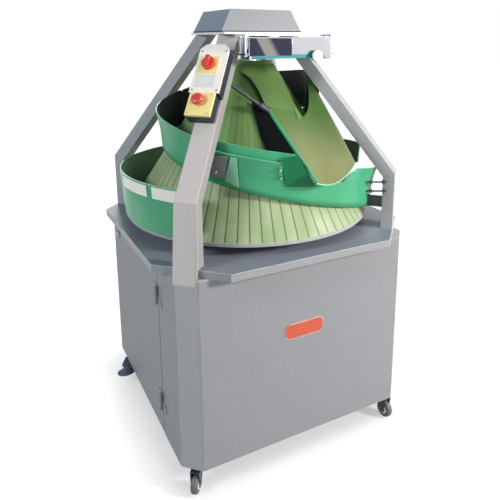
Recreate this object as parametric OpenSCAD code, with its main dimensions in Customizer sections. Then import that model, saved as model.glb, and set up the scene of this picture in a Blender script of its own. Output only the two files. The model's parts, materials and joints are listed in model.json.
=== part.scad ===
// Conical dough rounder: a fluted cone turns inside a spiral track, above a cabinet on casters.
// The front is -Y, +Z is up, and the origin is on the floor, on the cone's axis.

/* [Cabinet] */
// Width of the cabinet, left to right
cabinet_w = 840; // [800:5:880]
// Depth of the cabinet, front to back
cabinet_d = 860; // [820:5:900]
// Height of the cabinet's box
cabinet_h = 623; // [580:1:680]
// Leg of the 45 degree cut on each upright corner
corner_cut = 53; // [46:1:60]
// Thickness of the panels
sheet = 3; // [2:0.5:4]
// Thickness of the corner posts
post_t = 4; // [3:0.5:6]
// Width of the flange that a corner post has behind each panel
post_flange = 60; // [52:1:70]
// Thickness of the cabinet's floor
floor_t = 6; // [4:0.5:10]
// Gap between neighbouring panels
seam = 2; // [1:0.5:3]
// Width of the fixed strip in front of the service door
strip_w = 164; // [120:1:200]

/* [Service door] */
// Gap between the door and the fixed strip
door_gap = 4.5; // [4:0.5:6]
// Radius of the hinge barrels
barrel_r = 6; // [5:0.5:7]
// Radius of the hinge pins
hinge_pin_r = 3; // [2.5:0.5:3.5]
// Length of one hinge barrel
barrel_l = 30; // [20:1:40]
// Height of the hinges from the door's lower and upper edge
hinge_inset = 90; // [70:1:140]
// Distance of the lock from the door's upper and rear edges
lock_inset = 81; // [74:1:90]
// Radius of the lock's shaft
lock_shaft_r = 5; // [4:0.5:7]
// Radius of the lock's knob
lock_knob_r = 14; // [10:1:18]
// Length of the lock's cam
lock_cam_l = 48; // [40:1:60]

/* [Worktop] */
// How far the worktop reaches past the cabinet's sides
over_x = 43; // [30:1:55]
// How far the worktop reaches past the cabinet's front and back
over_y = 47; // [34:1:60]
// Leg of the 45 degree cut on each corner of the worktop
worktop_cut = 178; // [165:1:190]
// Thickness of the worktop's plate
worktop_t = 4; // [3:0.5:6]
// Height of the worktop's folded edge
lip_h = 24; // [18:1:36]
// Radius of the hole that the shaft passes
shaft_hole_r = 60; // [45:1:75]
// Width of the rails under the worktop
rail_w = 40; // [25:1:50]

/* [Pillars] */
// Width of a pillar's tube across the diagonal
pillar_w = 70; // [56:1:80]
// Thickness of a pillar's tube along the diagonal
pillar_t = 40; // [30:1:50]
// Wall of a pillar's tube
pillar_wall = 3; // [2:0.5:6]
// Height of the bend above the worktop
bend_h = 190; // [170:1:215]
// Height of the crown plate's underside above the worktop
crown_h = 657; // [640:1:720]
// Side of the square crown plate
crown_w = 300; // [280:2:330]
// Thickness of the crown plate
crown_t = 8; // [6:0.5:12]

/* [Hood] */
// Height of the hood
hood_h = 73; // [50:1:100]
// How far the hood's sides slope in
hood_slope_x = 37; // [20:1:60]
// How far the hood's front and back slope in
hood_slope_y = 10; // [0:1:30]
// How far the hood's front and back stand behind the crown plate's edges
hood_back = 23; // [10:1:30]
// Wall of the hood
hood_wall = 2.5; // [1.5:0.5:4]

/* [Cone] */
// Radius of the cone at its base
cone_base_r = 435; // [420:1:440]
// Radius of the cone at its top
cone_top_r = 88; // [80:1:96]
// Height of the cone
cone_h = 526; // [510:1:540]
// Gap between the worktop and the cone's base ring
cone_gap = 32; // [24:1:45]
// Height of the base ring
base_ring_h = 12; // [8:1:18]
// Number of flutes
flutes = 72; // [48:1:96]
// Width of the groove between two flutes
groove_w = 5; // [3:0.5:8]
// Depth of that groove
groove_d = 3.5; // [2:0.5:5]
// Wall of the cone
cone_wall = 10; // [8:0.5:14]
// Radius of the lower shaft
shaft_r = 25; // [20:1:30]
// Radius of the shaft inside the cone
upper_shaft_r = 16; // [12:1:20]

/* [Drive] */
// Height of the bearing column
column_h = 500; // [440:1:520]
// Outer radius of the bearing column
column_r = 65; // [60:1:80]
// Outer radius of the bearings
bearing_r = 55; // [45:1:56]
// Height of a bearing
bearing_h = 30; // [20:1:40]
// Radius of the driven pulley
driven_r = 150; // [130:1:165]
// Radius of the drive pulley
drive_r = 55; // [45:1:65]
// Distance between the pulleys
belt_span = 250; // [240:1:265]
// Width of the belt
belt_w = 30; // [20:1:36]
// Thickness of the belt
belt_t = 6; // [4:0.5:9]
// Width of the square gearbox
gearbox_w = 150; // [130:1:170]
// Height of the gearbox
gearbox_h = 110; // [90:1:130]
// Radius of the motor
motor_r = 50; // [42:1:54]
// Length of the motor
motor_l = 240; // [200:1:280]
// Radius of the gearbox's output shaft
output_r = 14; // [10:1:18]

/* [Track] */
// Thickness of the track's sheet
track_t = 5; // [3:0.5:6]
// Gap between the cone and the track's inner edge
track_gap = 8; // [7:0.5:14]
// Height of the track's start, below the cone's base
track_drop = 5; // [0:1:15]
// Rise of the track over its whole turn
track_rise = 364; // [350:1:375]
// Turn in which that rise happens
track_turn = 370; // [365:1:390]
// How much steeper the track starts than it ends
track_ease = 1.9; // [1.7:0.05:2.1]
// Height of the front stretch's wall at its start
front_wall_start = 143; // [125:1:150]
// Height of the front stretch's wall at its end
front_wall_end = 112; // [100:1:125]
// Height of the upper and rear stretches' wall
upper_wall = 132; // [115:1:140]
// How far the front wall's rim stands outside the cone's skin
front_flare = 58; // [46:1:60]
// How far the upper wall bulges between two pillars
upper_bulge = 12; // [6:1:20]
// Depth of the dip in the front wall below the chute
dip_depth = 0.46; // [0.40:0.01:0.50]
// Height of the collar's rim above its foot
collar_h = 158; // [140:1:170]
// How far the collar's rim leans out
collar_flare = 12; // [8:1:18]
// Rise of the collar's foot at its end
collar_rise = 118; // [90:1:125]
// Height of the liner above the front wall's rim
liner_rise = 27; // [15:1:32]
// Thickness of the liner
liner_t = 3; // [2:0.5:4]
// Width of the white strips on the collar's rim
strip_band = 38; // [24:1:50]
// Thickness of the white strips
strip_t = 3; // [2:0.5:4]
// Thickness of the track brackets
bracket_t = 6; // [4:0.5:10]

/* [Chute] */
// Thickness of the chute's sheet
chute_t = 4; // [3:0.5:6]
// Gap between the cone and the chute's inner edge
chute_gap = 14; // [12:1:20]
// How far the chute's end reaches past the cone's base
chute_reach = 22; // [18:1:30]
// Radius of the chute's strut
strut_r = 6; // [5:0.5:9]

/* [Flour duster] */
// Length of the duster's box
duster_l = 300; // [280:1:320]
// Depth of the duster's box, front to back
duster_d = 58; // [50:1:64]
// Height of the duster's box
duster_h = 62; // [54:1:70]
// Wall of the duster's box
duster_wall = 2; // [1.5:0.5:4]
// Distance of the duster's middle right of the cone's axis
duster_x = 32; // [30:1:40]
// Gap between the crown plate's front and the duster's back
duster_gap = 53; // [53:1:60]
// Radius of the duster's rods
rod_r = 4; // [3:0.5:6]
// Thickness of the duster's shutter
shutter_t = 3; // [2:0.5:4]
// Travel of the duster's shutter
shutter_travel = 15; // [8:1:18]
// Radius of the shutter's knob
shutter_knob_r = 18; // [12:1:20]

/* [Controls] */
// Distance of the control box's lower end from the pillar's bend
control_up = 330; // [329:1:336]
// Width of the control box
control_w = 98; // [86:1:104]
// Length of the control box along the pillar
control_l = 178; // [170:1:182]
// Depth of the control box
control_d = 36; // [28:1:44]
// Wall of the control boxes
control_wall = 2.5; // [2:0.5:4]
// Thickness of the control box's cover
cover_t = 4; // [3:0.5:6]
// Side of the yellow plate behind the selector
plate_w = 64; // [54:1:70]
// Distance of the emergency stop's box from the pillar's bend
estop_up = 248; // [232:1:248]
// Side of the emergency stop's box
estop_w = 80; // [70:1:84]
// Depth of the emergency stop's box
estop_d = 36; // [28:1:44]
// Depth of the emergency stop's yellow cover
estop_cover_t = 10; // [8:1:14]
// Radius of the mushroom button
mushroom_r = 19; // [15:1:24]
// Radius of the selector's and button's stems
stem_r = 8; // [6:0.5:10]

/* [Casters] */
// Radius of a caster's wheel
wheel_r = 31; // [27:1:34]
// Width of a caster's wheel
wheel_w = 22; // [18:1:28]
// Height of a caster, which carries the cabinet's floor
caster_h = 93; // [88:1:110]
// Distance of the wheel's axle behind the swivel
trail = 26; // [20:1:30]
// Distance of the swivels from the cabinet's sides
caster_inset = 55; // [52:1:64]
// Radius of a caster's round plate
caster_plate_r = 34; // [30:1:36]
// Thickness of a caster's plate
caster_plate_t = 4; // [3:0.5:6]
// Radius of a caster's axle
axle_r = 4; // [3:0.5:5]
// Length of the brake pedal
pedal_l = 88; // [60:1:92]
// Width of the brake pedal
pedal_w = 46; // [36:1:52]

/* [Hidden] */
$fn = 64;

// Clearances: running fit of a pin, seat of a fixed round piece, faces of two bodies, cutting past a face
run_fit = 0.05;
seat_fit = 0.02;
clear = 0.3;
past = 1;

// Heights from the floor up
floor_z = caster_h;
floor_top = floor_z + floor_t;
cabinet_top = floor_z + cabinet_h;
worktop_z = cabinet_top + lip_h;
bend_z = worktop_z + bend_h;
crown_z = worktop_z + crown_h;
hood_z = crown_z + crown_t;
ring_z = worktop_z + cone_gap;
cone_z = ring_z + base_ring_h;
cone_top = cone_z + cone_h;
pulley_gap = 21;
pulley_z = floor_top + column_h + pulley_gap;
gearbox_top = pulley_z - pulley_gap + 1;

// Plan of the cabinet, the worktop and the pillars
worktop_w = cabinet_w + 2 * over_x;
worktop_d = cabinet_d + 2 * over_y;
cut_reach = (worktop_w + worktop_d) / 2 - worktop_cut;
pillar_reach = cut_reach / sqrt(2) - pillar_t / 2;
level_half_t = 0.64 * pillar_t;
crown_reach = crown_w / sqrt(2) - pillar_w / 2 - level_half_t;
lean = atan2(pillar_reach - crown_reach, crown_z - bend_z);
NEAR = 225;
RIGHT = 315;
REAR = 45;
LEFT = 135;

// The inside of the posts: the panels' sides are cut back by sheet and post, the chamfer by the post alone
inside_w = cabinet_w - 2 * (sheet + post_t);
inside_d = cabinet_d - 2 * (sheet + post_t);
inside_cut = corner_cut - 2 * (sheet + post_t) + post_t * sqrt(2);

// Finishes
GREY = [0.65, 0.65, 0.66];
DARK = [0.24, 0.26, 0.28];
STEEL = [0.78, 0.78, 0.80];
GREEN = [0.36, 0.68, 0.52];
CONE_GREEN = [0.62, 0.72, 0.50];
OLIVE = [0.55, 0.64, 0.42];
WHITE = [0.93, 0.92, 0.90];
YELLOW = [0.93, 0.75, 0.15];
RED = [0.80, 0.13, 0.10];

// Shared shapes

function octagon(w, d, cut) = [
    [-w / 2 + cut, -d / 2], [w / 2 - cut, -d / 2], [w / 2, -d / 2 + cut], [w / 2, d / 2 - cut],
    [w / 2 - cut, d / 2], [-w / 2 + cut, d / 2], [-w / 2, d / 2 - cut], [-w / 2, -d / 2 + cut]];

function reversed(list) = [for (i = [len(list) - 1 : -1 : 0]) list[i]];

function polar(angle, r, z) = [r * cos(angle), r * sin(angle), z];

// A solid through rings of points; each ring runs counter-clockwise seen from the end the rings go to
module loft(rings) {
    n = len(rings[0]);
    last = len(rings) - 1;
    cap = [for (i = [0 : n / 2 - 2]) [i, i + 1, n - 2 - i, n - 1 - i]];
    polyhedron(
        points = [for (ring = rings) each ring],
        faces = concat(
            cap,
            [for (j = [0 : last - 1], i = [0 : n - 1]) [j * n + i, (j + 1) * n + i, (j + 1) * n + (i + 1) % n]],
            [for (j = [0 : last - 1], i = [0 : n - 1]) [j * n + i, (j + 1) * n + (i + 1) % n, j * n + (i + 1) % n]],
            [for (quad = cap) reversed([for (i = quad) last * n + i])]));
}

// A round bar between two points
module bar(from, to, r) {
    run = to - from;
    translate(from)
        rotate([0, acos(run.z / norm(run)), atan2(run.y, run.x)])
        cylinder(h = norm(run), r = r);
}

module ring(z, h, outer, inner) {
    translate([0, 0, z])
        difference() {
            cylinder(h = h, r = outer);
            translate([0, 0, -past])
                cylinder(h = h + 2 * past, r = inner);
        }
}

module box_at(low, high) {
    translate(low)
        cube(high - low);
}

// Cabinet

module base_plate() {
    color(DARK)
        translate([0, 0, floor_z])
        linear_extrude(floor_t)
        polygon(octagon(inside_w, inside_d, inside_cut));
}

module corner_plan() {
    corner = corner_cut + post_flange;
    intersection() {
        polygon(octagon(cabinet_w, cabinet_d, corner_cut));
        for (sx = [-1, 1], sy = [-1, 1])
            translate([sx * (cabinet_w - corner) / 2, sy * (cabinet_d - corner) / 2])
                square(corner, center = true);
    }
}

module post_plan() {
    difference() {
        corner_plan();
        for (side = [-1, 1]) {
            translate([0, side * (cabinet_d - sheet) / 2])
                square([cabinet_w - 2 * corner_cut, sheet], center = true);
            translate([side * (cabinet_w - sheet) / 2, 0])
                square([sheet, cabinet_d - 2 * corner_cut], center = true);
        }
    }
}

module corner_posts() {
    color(GREY) {
        translate([0, 0, floor_z])
            linear_extrude(cabinet_h - post_t)
            difference() {
                post_plan();
                polygon(octagon(inside_w, inside_d, inside_cut));
            }
        translate([0, 0, cabinet_top - post_t])
            linear_extrude(post_t)
            post_plan();
    }
}

module end_panel(side) {
    w = cabinet_w - 2 * corner_cut - seam;
    face = side * cabinet_d / 2;
    inner = face - side * sheet;
    box_at([-w / 2, min(face, inner), floor_z], [w / 2, max(face, inner), cabinet_top]);
}

module front_panel() {
    color(GREY)
        end_panel(-1);
}

module rear_panel() {
    color(GREY)
        difference() {
            end_panel(1);
            gland_bore(gland_neck_r + seat_fit);
        }
}

module right_panel() {
    d = cabinet_d - 2 * corner_cut - seam;
    color(GREY)
        box_at([cabinet_w / 2 - sheet, -d / 2, floor_z], [cabinet_w / 2, d / 2, cabinet_top]);
}

strip_from = -cabinet_d / 2 + corner_cut + seam / 2;
strip_to = strip_from + strip_w;
door_from = strip_to + door_gap;
door_to = cabinet_d / 2 - corner_cut - seam / 2;
door_low = floor_z + seam;
door_high = cabinet_top - seam;
hinge_x = -cabinet_w / 2 - barrel_r;
hinge_y = (strip_to + door_from) / 2;
hinge_zs = [door_low + hinge_inset, door_high - hinge_inset - 2 * barrel_l];
leaf_t = barrel_r / 2;
leaf_w = 38;

// One half of a hinge: its barrel, and a leaf on the panel to the front (-1) or the back (1)
module hinge_half(z, side) {
    translate([hinge_x, hinge_y, z])
        cylinder(h = barrel_l, r = barrel_r);
    box_at([-cabinet_w / 2 - leaf_t, min(hinge_y, hinge_y + side * leaf_w), z],
        [-cabinet_w / 2, max(hinge_y, hinge_y + side * leaf_w), z + barrel_l]);
}

module side_strip() {
    color(GREY) {
        box_at([-cabinet_w / 2, strip_from, floor_z], [-cabinet_w / 2 + sheet, strip_to, cabinet_top]);
        for (z = hinge_zs) {
            hinge_half(z, -1);
            translate([hinge_x, hinge_y, z + barrel_l])
                cylinder(h = barrel_l, r = hinge_pin_r);
        }
    }
}

module door_panel() {
    color(GREY)
        difference() {
            union() {
                box_at([-cabinet_w / 2, door_from, door_low], [-cabinet_w / 2 + sheet - clear, door_to, door_high]);
                for (z = hinge_zs)
                    hinge_half(z + barrel_l + clear, 1);
            }
            for (z = hinge_zs)
                translate([hinge_x, hinge_y, z + barrel_l])
                    cylinder(h = barrel_l + 2 * past, r = hinge_pin_r + run_fit);
            lock_axis()
                translate([0, 0, -sheet - past])
                cylinder(h = 2 * (sheet + past), r = lock_shaft_r + run_fit);
        }
}

// The lock's axis: local Z points out of the door, to the left
module lock_axis() {
    translate([-cabinet_w / 2, door_to - lock_inset, door_high - lock_inset])
        rotate([0, -90, 0])
        children();
}

module door_lock() {
    knob_h = 12;
    cam_t = 3;
    cam_w = 14;
    wing_w = 7;
    cam_face = -(sheet + post_t + clear);
    color(STEEL)
        lock_axis() {
            translate([0, 0, clear])
                cylinder(h = knob_h / 2, r = lock_knob_r);
            translate([-lock_knob_r, -wing_w / 2, clear])
                cube([2 * lock_knob_r, wing_w, knob_h]);
            translate([0, 0, cam_face - cam_t])
                cylinder(h = clear - cam_face + cam_t, r = lock_shaft_r);
            translate([-cam_w / 2, -cam_w / 2, cam_face - cam_t])
                cube([lock_cam_l + cam_w / 2, cam_w, cam_t]);
        }
}

// Cable gland low on the rear panel
gland_x = cabinet_w / 4;
gland_up = 110;
gland_r = 13;
gland_neck_r = 9;
gland_bore_r = 6;
gland_l = 22;

module gland_bore(r) {
    translate([gland_x, cabinet_d / 2 - sheet - gland_l, floor_z + gland_up])
        rotate([-90, 0, 0])
        cylinder(h = 2 * gland_l + sheet + past, r = r);
}

module cable_gland() {
    nut_h = 6;
    color(DARK)
        difference() {
            translate([gland_x, cabinet_d / 2, floor_z + gland_up])
                rotate([-90, 0, 0]) {
                    cylinder(h = gland_l, r = gland_r);
                    translate([0, 0, -sheet - nut_h])
                        cylinder(h = sheet + nut_h, r = gland_neck_r);
                    translate([0, 0, -sheet - nut_h])
                        cylinder(h = nut_h, r = gland_r);
                }
            gland_bore(gland_bore_r);
        }
}

// Worktop and rails

module top_rails() {
    pillar_half = (pillar_w + pillar_t) / (2 * sqrt(2));
    pillar_gap = 3;
    rail_end = pillar_reach / sqrt(2) - pillar_half - pillar_gap;
    rail_h = lip_h - worktop_t;
    color(DARK)
        for (side = [-1, 1]) {
            translate([-rail_end, side * (cabinet_d / 2 - sheet - rail_w / 2) - rail_w / 2, cabinet_top])
                cube([2 * rail_end, rail_w, rail_h]);
            translate([side * (cabinet_w / 2 - sheet - rail_w / 2) - rail_w / 2, -rail_end, cabinet_top])
                cube([rail_w, 2 * rail_end, rail_h]);
        }
}

module worktop() {
    lip_t = worktop_t * 3 / 4;
    inner_cut = worktop_cut - lip_t * (2 - sqrt(2));
    color(GREY)
        difference() {
            translate([0, 0, cabinet_top])
                linear_extrude(lip_h)
                polygon(octagon(worktop_w, worktop_d, worktop_cut));
            translate([0, 0, cabinet_top - past])
                linear_extrude(lip_h - worktop_t + past)
                polygon(octagon(worktop_w - 2 * lip_t, worktop_d - 2 * lip_t, inner_cut));
            for (angle = [NEAR, RIGHT, REAR, LEFT])
                rotate(angle)
                    translate([pillar_reach - pillar_t / 2 - clear, -pillar_w / 2 - clear, cabinet_top - past])
                    cube([pillar_t + clear + past, pillar_w + 2 * clear, lip_h + 2 * past]);
            translate([0, 0, cabinet_top])
                cylinder(h = lip_h + past, r = shaft_hole_r);
        }
}

module shaft_seal() {
    seal_lap = 15;
    color(DARK)
        ring(worktop_z, cone_gap / 3, shaft_hole_r + seal_lap, shaft_r + clear);
}

// Pillars, crown and hood

// How far a pillar's middle stands from the axis at a height above the bend
function lean_reach(z) = pillar_reach - (z - bend_z) * tan(lean);
function pillar_inside(z) =
    z < bend_z ? pillar_reach - pillar_t / 2 : lean_reach(z) - pillar_t / (2 * cos(lean));

function flat_ring(reach, depth, half_w, z) = [
    [reach + depth, -half_w, z], [reach + depth, half_w, z],
    [reach - depth, half_w, z], [reach - depth, -half_w, z]];

// Foot, mitred bend and top of a bent tube with this half width and half thickness
function pillar_rings(half_w, half_t, extra) = let (mitre = half_t * tan(lean / 2)) [
    flat_ring(pillar_reach, half_t, half_w, cabinet_top - extra),
    [[pillar_reach + half_t, -half_w, bend_z + mitre], [pillar_reach + half_t, half_w, bend_z + mitre],
        [pillar_reach - half_t, half_w, bend_z - mitre], [pillar_reach - half_t, -half_w, bend_z - mitre]],
    flat_ring(lean_reach(crown_z + extra), half_t / cos(lean), half_w, crown_z + extra)];

module pillar_solid(angle) {
    rotate(angle)
        loft(pillar_rings(pillar_w / 2, pillar_t / 2, 0));
}

module pillar(angle) {
    color(GREY)
        difference() {
            pillar_solid(angle);
            rotate(angle)
                loft(pillar_rings(pillar_w / 2 - pillar_wall, pillar_t / 2 - pillar_wall, past));
        }
}

module pillar_near() { pillar(NEAR); }

module pillar_right() { pillar(RIGHT); }

module pillar_rear() { pillar(REAR); }

module pillar_left() { pillar(LEFT); }

module crown_plate() {
    color(STEEL)
        translate([-crown_w / 2, -crown_w / 2, crown_z])
        cube([crown_w, crown_w, crown_t]);
}

function hood_ring(inset, z) = let (
    share = (z - hood_z) / hood_h,
    x = crown_w / 2 - share * hood_slope_x - inset,
    y = crown_w / 2 - hood_back - share * hood_slope_y - inset)
    [[x, -y, z], [x, y, z], [-x, y, z], [-x, -y, z]];

module hood() {
    color(GREY)
        difference() {
            loft([hood_ring(0, hood_z), hood_ring(0, hood_z + hood_h)]);
            loft([hood_ring(hood_wall, hood_z - past), hood_ring(hood_wall, hood_z + hood_h - hood_wall)]);
        }
}

// Bearing column and drive

module bearing_column() {
    foot_t = 12;
    foot_w = 45;
    foot_r = column_r + foot_w;
    color(DARK)
        difference() {
            translate([0, 0, floor_top]) {
                cylinder(h = foot_t, r = foot_r);
                cylinder(h = column_h, r = column_r);
            }
            translate([0, 0, floor_top + past])
                cylinder(h = column_h + past, r = bearing_r + seat_fit);
        }
}

module bearings() {
    color(STEEL)
        for (z = [floor_top + past, floor_top + column_h - bearing_h])
            ring(z, bearing_h, bearing_r, shaft_r + run_fit);
}

top_disc_t = 6;
top_nut_h = 14;
shaft_end = 6;

module cone_shaft() {
    color(STEEL) {
        translate([0, 0, floor_top + 2 * past])
            cylinder(h = cone_z + base_ring_h - floor_top - 2 * past, r = shaft_r);
        translate([0, 0, cone_z])
            cylinder(h = cone_h + top_disc_t + top_nut_h + shaft_end, r = upper_shaft_r);
    }
}

// A pulley with a flange above and below its belt
pulley_flange = 4;
belt_side = 1;

module pulley(r, bore) {
    hub_h = belt_w + 2 * (belt_side + pulley_flange);
    rim_r = r + belt_t;
    color(STEEL)
        rotate_extrude()
        polygon([[bore, 0], [rim_r, 0], [rim_r, pulley_flange], [r, pulley_flange],
            [r, hub_h - pulley_flange], [rim_r, hub_h - pulley_flange], [rim_r, hub_h], [bore, hub_h]]);
}

module driven_pulley() {
    translate([0, 0, pulley_z])
        pulley(driven_r, shaft_r + seat_fit);
}

module drive_pulley() {
    stub = pulley_z - gearbox_top;
    translate([0, belt_span, 0]) {
        translate([0, 0, pulley_z])
            pulley(drive_r, output_r);
        color(STEEL)
            translate([0, 0, gearbox_top - gearbox_h / 2])
            cylinder(h = gearbox_h / 2 + stub + belt_w, r = output_r);
    }
}

// The belt's outline, at a distance outside the pulleys, along +X from the driven pulley
module belt_plan(out) {
    hull() {
        circle(r = driven_r + clear + out, $fn = 128);
        translate([belt_span, 0])
            circle(r = drive_r + clear + out, $fn = 128);
    }
}

module drive_belt() {
    color(DARK)
        translate([0, 0, pulley_z + pulley_flange + belt_side])
        rotate(90)
        linear_extrude(belt_w)
        difference() {
            belt_plan(belt_t);
            belt_plan(0);
        }
}

module motor_stand() {
    stand_inset = 15;
    stand_w = gearbox_w - 2 * stand_inset;
    stand_wall = 6;
    stand_h = gearbox_top - gearbox_h - floor_top;
    color(DARK)
        translate([0, belt_span, floor_top])
        linear_extrude(stand_h)
        difference() {
            square(stand_w, center = true);
            square(stand_w - 2 * stand_wall, center = true);
        }
}

module gearbox() {
    color(GREY)
        difference() {
            translate([-gearbox_w / 2, belt_span - gearbox_w / 2, gearbox_top - gearbox_h])
                cube([gearbox_w, gearbox_w, gearbox_h]);
            translate([0, belt_span, gearbox_top - gearbox_h / 2])
                cylinder(h = gearbox_h, r = output_r + run_fit);
        }
}

module motor() {
    box_w = 80;
    box_h = 30;
    fan_l = 50;
    color(GREEN)
        translate([gearbox_w / 2, belt_span, gearbox_top - gearbox_h / 2])
        rotate([0, 90, 0]) {
            cylinder(h = motor_l - fan_l, r = motor_r);
            translate([0, 0, motor_l - fan_l])
                cylinder(h = fan_l, r = motor_r + 4);
            translate([-motor_r - box_h, -box_w / 2, fan_l])
                cube([motor_r + box_h, box_w, box_w]);
        }
}

// Cone

base_ring_w = 55;

module cone_base_ring() {
    color(STEEL)
        ring(ring_z, base_ring_h, cone_base_r + 1, cone_base_r - base_ring_w);
}

module cone_hub() {
    plate_t = 8;
    collar_t = 8;
    boss_r = shaft_r + 20;
    plate_r = cone_base_r - 0.64 * base_ring_w;
    color(STEEL)
        difference() {
            union() {
                translate([0, 0, cone_z])
                    cylinder(h = plate_t, r = plate_r);
                translate([0, 0, ring_z])
                    cylinder(h = base_ring_h + plate_t + collar_t, r = boss_r);
            }
            translate([0, 0, ring_z - past])
                cylinder(h = base_ring_h + plate_t + collar_t + 2 * past, r = shaft_r + seat_fit);
        }
}

function cone_r(z) = cone_base_r - (z - cone_z) * (cone_base_r - cone_top_r) / cone_h;

module cone_shell() {
    pitch = 360 / flutes;
    groove = 2 * asin(groove_w / (2 * cone_base_r));
    outer = [for (i = [0 : flutes - 1]) each [
        polar(i * pitch, cone_base_r, 0),
        polar((i + 1) * pitch - groove, cone_base_r, 0),
        polar((i + 1) * pitch - groove / 2, cone_base_r - groove_d, 0)]];
    inner = [for (i = [0 : flutes - 1]) polar(i * pitch, cone_base_r - cone_wall, 0)];
    n = len(outer);
    color(CONE_GREEN)
        translate([0, 0, cone_z])
        linear_extrude(height = cone_h, scale = cone_top_r / cone_base_r)
        polygon(
            points = [for (p = concat(outer, inner)) [p.x, p.y]],
            paths = [[for (i = [0 : n - 1]) i], [for (i = [0 : flutes - 1]) n + i]]);
}

module cone_top_disc() {
    nut_r = upper_shaft_r + 10;
    color(STEEL)
        difference() {
            translate([0, 0, cone_top]) {
                cylinder(h = top_disc_t, r = cone_top_r);
                cylinder(h = top_disc_t + top_nut_h, r = nut_r, $fn = 6);
            }
            translate([0, 0, cone_top - past])
                cylinder(h = top_disc_t + top_nut_h + 2 * past, r = upper_shaft_r + seat_fit);
        }
}

// Track

track_from = 330;
front_turn = [14, 106.6];
upper_turn = [107, 201.6];
rear_turn = [202, 361];
track_step = 4;
track_bend = 0.5;
arc_parts = 4;
wall_parts = 4;

function track_angle(turn) = track_from - turn;
function track_z(turn) = cone_z - track_drop + track_rise * (1 - pow(1 - turn / track_turn, track_ease));

function mix(a, b, share) = a + (b - a) * share;
function share_of(span, turn) = (turn - span[0]) / (span[1] - span[0]);

// How far the pillars let a rim at this turn and height stand outside the cone's skin
function rim_room(turn, wall) = pillar_inside(track_z(turn) + wall) - cone_r(track_z(turn)) - 2 * track_t;

right_turn = track_from - RIGHT;
near_turn = track_from - NEAR;
left_turn = track_from - LEFT;
rear_pillar_turn = track_from - REAR;

function front_wall(turn) = mix(front_wall_start, front_wall_end, share_of(front_turn, turn));
function front_rim(turn) = mix(min(front_flare, rim_room(right_turn, front_wall_start)),
    min(front_flare, rim_room(near_turn, front_wall_end)), share_of(front_turn, turn));
function upper_rim(turn) = mix(rim_room(near_turn, upper_wall), rim_room(left_turn, upper_wall),
    share_of(upper_turn, turn)) + upper_bulge * pow(sin(180 * share_of(upper_turn, turn)), 2);
function rear_rim(turn) = min(rim_room(left_turn, upper_wall), rim_room(rear_pillar_turn, upper_wall));

// The dip that lets the chute pass over the front wall: its share of the wall's height
dip_turn = 51;
dip_half = 19;
function front_cut(turn) = let (away = abs(turn - dip_turn) / dip_half)
    away > 1 ? 1 : 1 - dip_depth * min(1, 1 + cos(180 * away));

// The inside of the track's section as [out, up, normal out, normal up], from the cone to the rim
function track_line(rim, wall, cut) = let (
    bend = track_bend * (rim - track_gap),
    spread = rim - track_gap - bend)
    concat(
        [for (i = [0 : arc_parts]) let (angle = 90 * i / arc_parts)
            [track_gap + bend * sin(angle), bend * (1 - cos(angle)), sin(angle), -cos(angle)]],
        [for (i = [1 : wall_parts]) let (
            up = cut * i / wall_parts,
            slope = 2 * spread * up / (wall - bend),
            length = sqrt(1 + slope * slope))
            [track_gap + bend + spread * up * up, bend + (wall - bend) * up, 1 / length, -slope / length]]);

function line_ring(line, thickness) = concat(
    [for (p = line) [p[0] + thickness * p[2], p[1] + thickness * p[3]]],
    reversed([for (p = line) [p[0], p[1]]]));

function track_ring(turn, rim, wall, cut, thickness) = let (z = track_z(turn), r = cone_r(z))
    [for (p = line_ring(track_line(rim, wall, cut), thickness)) polar(track_angle(turn), r + p[0], z + p[1])];

function turns(span, step) = let (n = ceil((span[1] - span[0]) / step))
    [for (i = [0 : n]) mix(span[0], span[1], i / n)];

module front_wall_solid(thickness) {
    loft([for (turn = turns(front_turn, track_step))
        track_ring(turn, front_rim(turn), front_wall(turn), front_cut(turn), thickness)]);
}

module upper_wall_solid(thickness) {
    loft([for (turn = turns(upper_turn, track_step))
        track_ring(turn, upper_rim(turn), upper_wall, 1, thickness)]);
}

module rear_wall_solid(thickness) {
    loft([for (turn = turns(rear_turn, track_step))
        track_ring(turn, rear_rim(turn), upper_wall, 1, thickness)]);
}

module front_track() {
    color(GREEN)
        front_wall_solid(track_t);
}

module upper_track() {
    color(GREEN)
        upper_wall_solid(track_t);
}

module rear_track() {
    color(GREEN)
        rear_wall_solid(track_t);
}

// An upright band inside the front wall that reaches above its rim, from the chute to the near pillar
liner_turn = [65, 106];
liner_seat = 0.7;

function liner_ring(turn) = let (
    wall = front_wall(turn),
    rim = front_rim(turn),
    bend = track_bend * (rim - track_gap),
    out = track_gap + bend + (rim - track_gap - bend) * liner_seat * liner_seat - run_fit,
    r = cone_r(track_z(turn)),
    low = track_z(turn) + bend + (wall - bend) * liner_seat,
    high = track_z(turn) + wall + liner_rise,
    angle = track_angle(turn))
    [polar(angle, r + out - liner_t, low), polar(angle, r + out, low),
        polar(angle, r + out, high), polar(angle, r + out - liner_t, high)];

module track_liner() {
    color(GREEN)
        loft([for (turn = turns(liner_turn, track_step)) liner_ring(turn)]);
}

// The collar round the cone's base, from the near pillar round the back to the right
collar_turn = [106, 342];
collar_lift_turn = 270;
collar_gap = 5;
collar_up = 3;

function collar_lift(turn) = turn < collar_lift_turn ? 0 :
    (1 - cos(180 * (turn - collar_lift_turn) / (collar_turn[1] - collar_lift_turn))) / 2;
function collar_foot(turn) = cone_z + collar_up + collar_rise * collar_lift(turn);
function collar_rim(turn) = cone_z + collar_up + collar_h + collar_rise / 3 * collar_lift(turn);
function collar_r(z) = cone_base_r + collar_gap + collar_flare * (z - cone_z) / collar_h;

// A band along the collar's wall, between two distances outside the wall's inner face
function collar_ring(turn, low, high, from, to) = let (angle = track_angle(turn))
    [polar(angle, collar_r(low) + from, low), polar(angle, collar_r(low) + to, low),
        polar(angle, collar_r(high) + to, high), polar(angle, collar_r(high) + from, high)];

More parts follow.
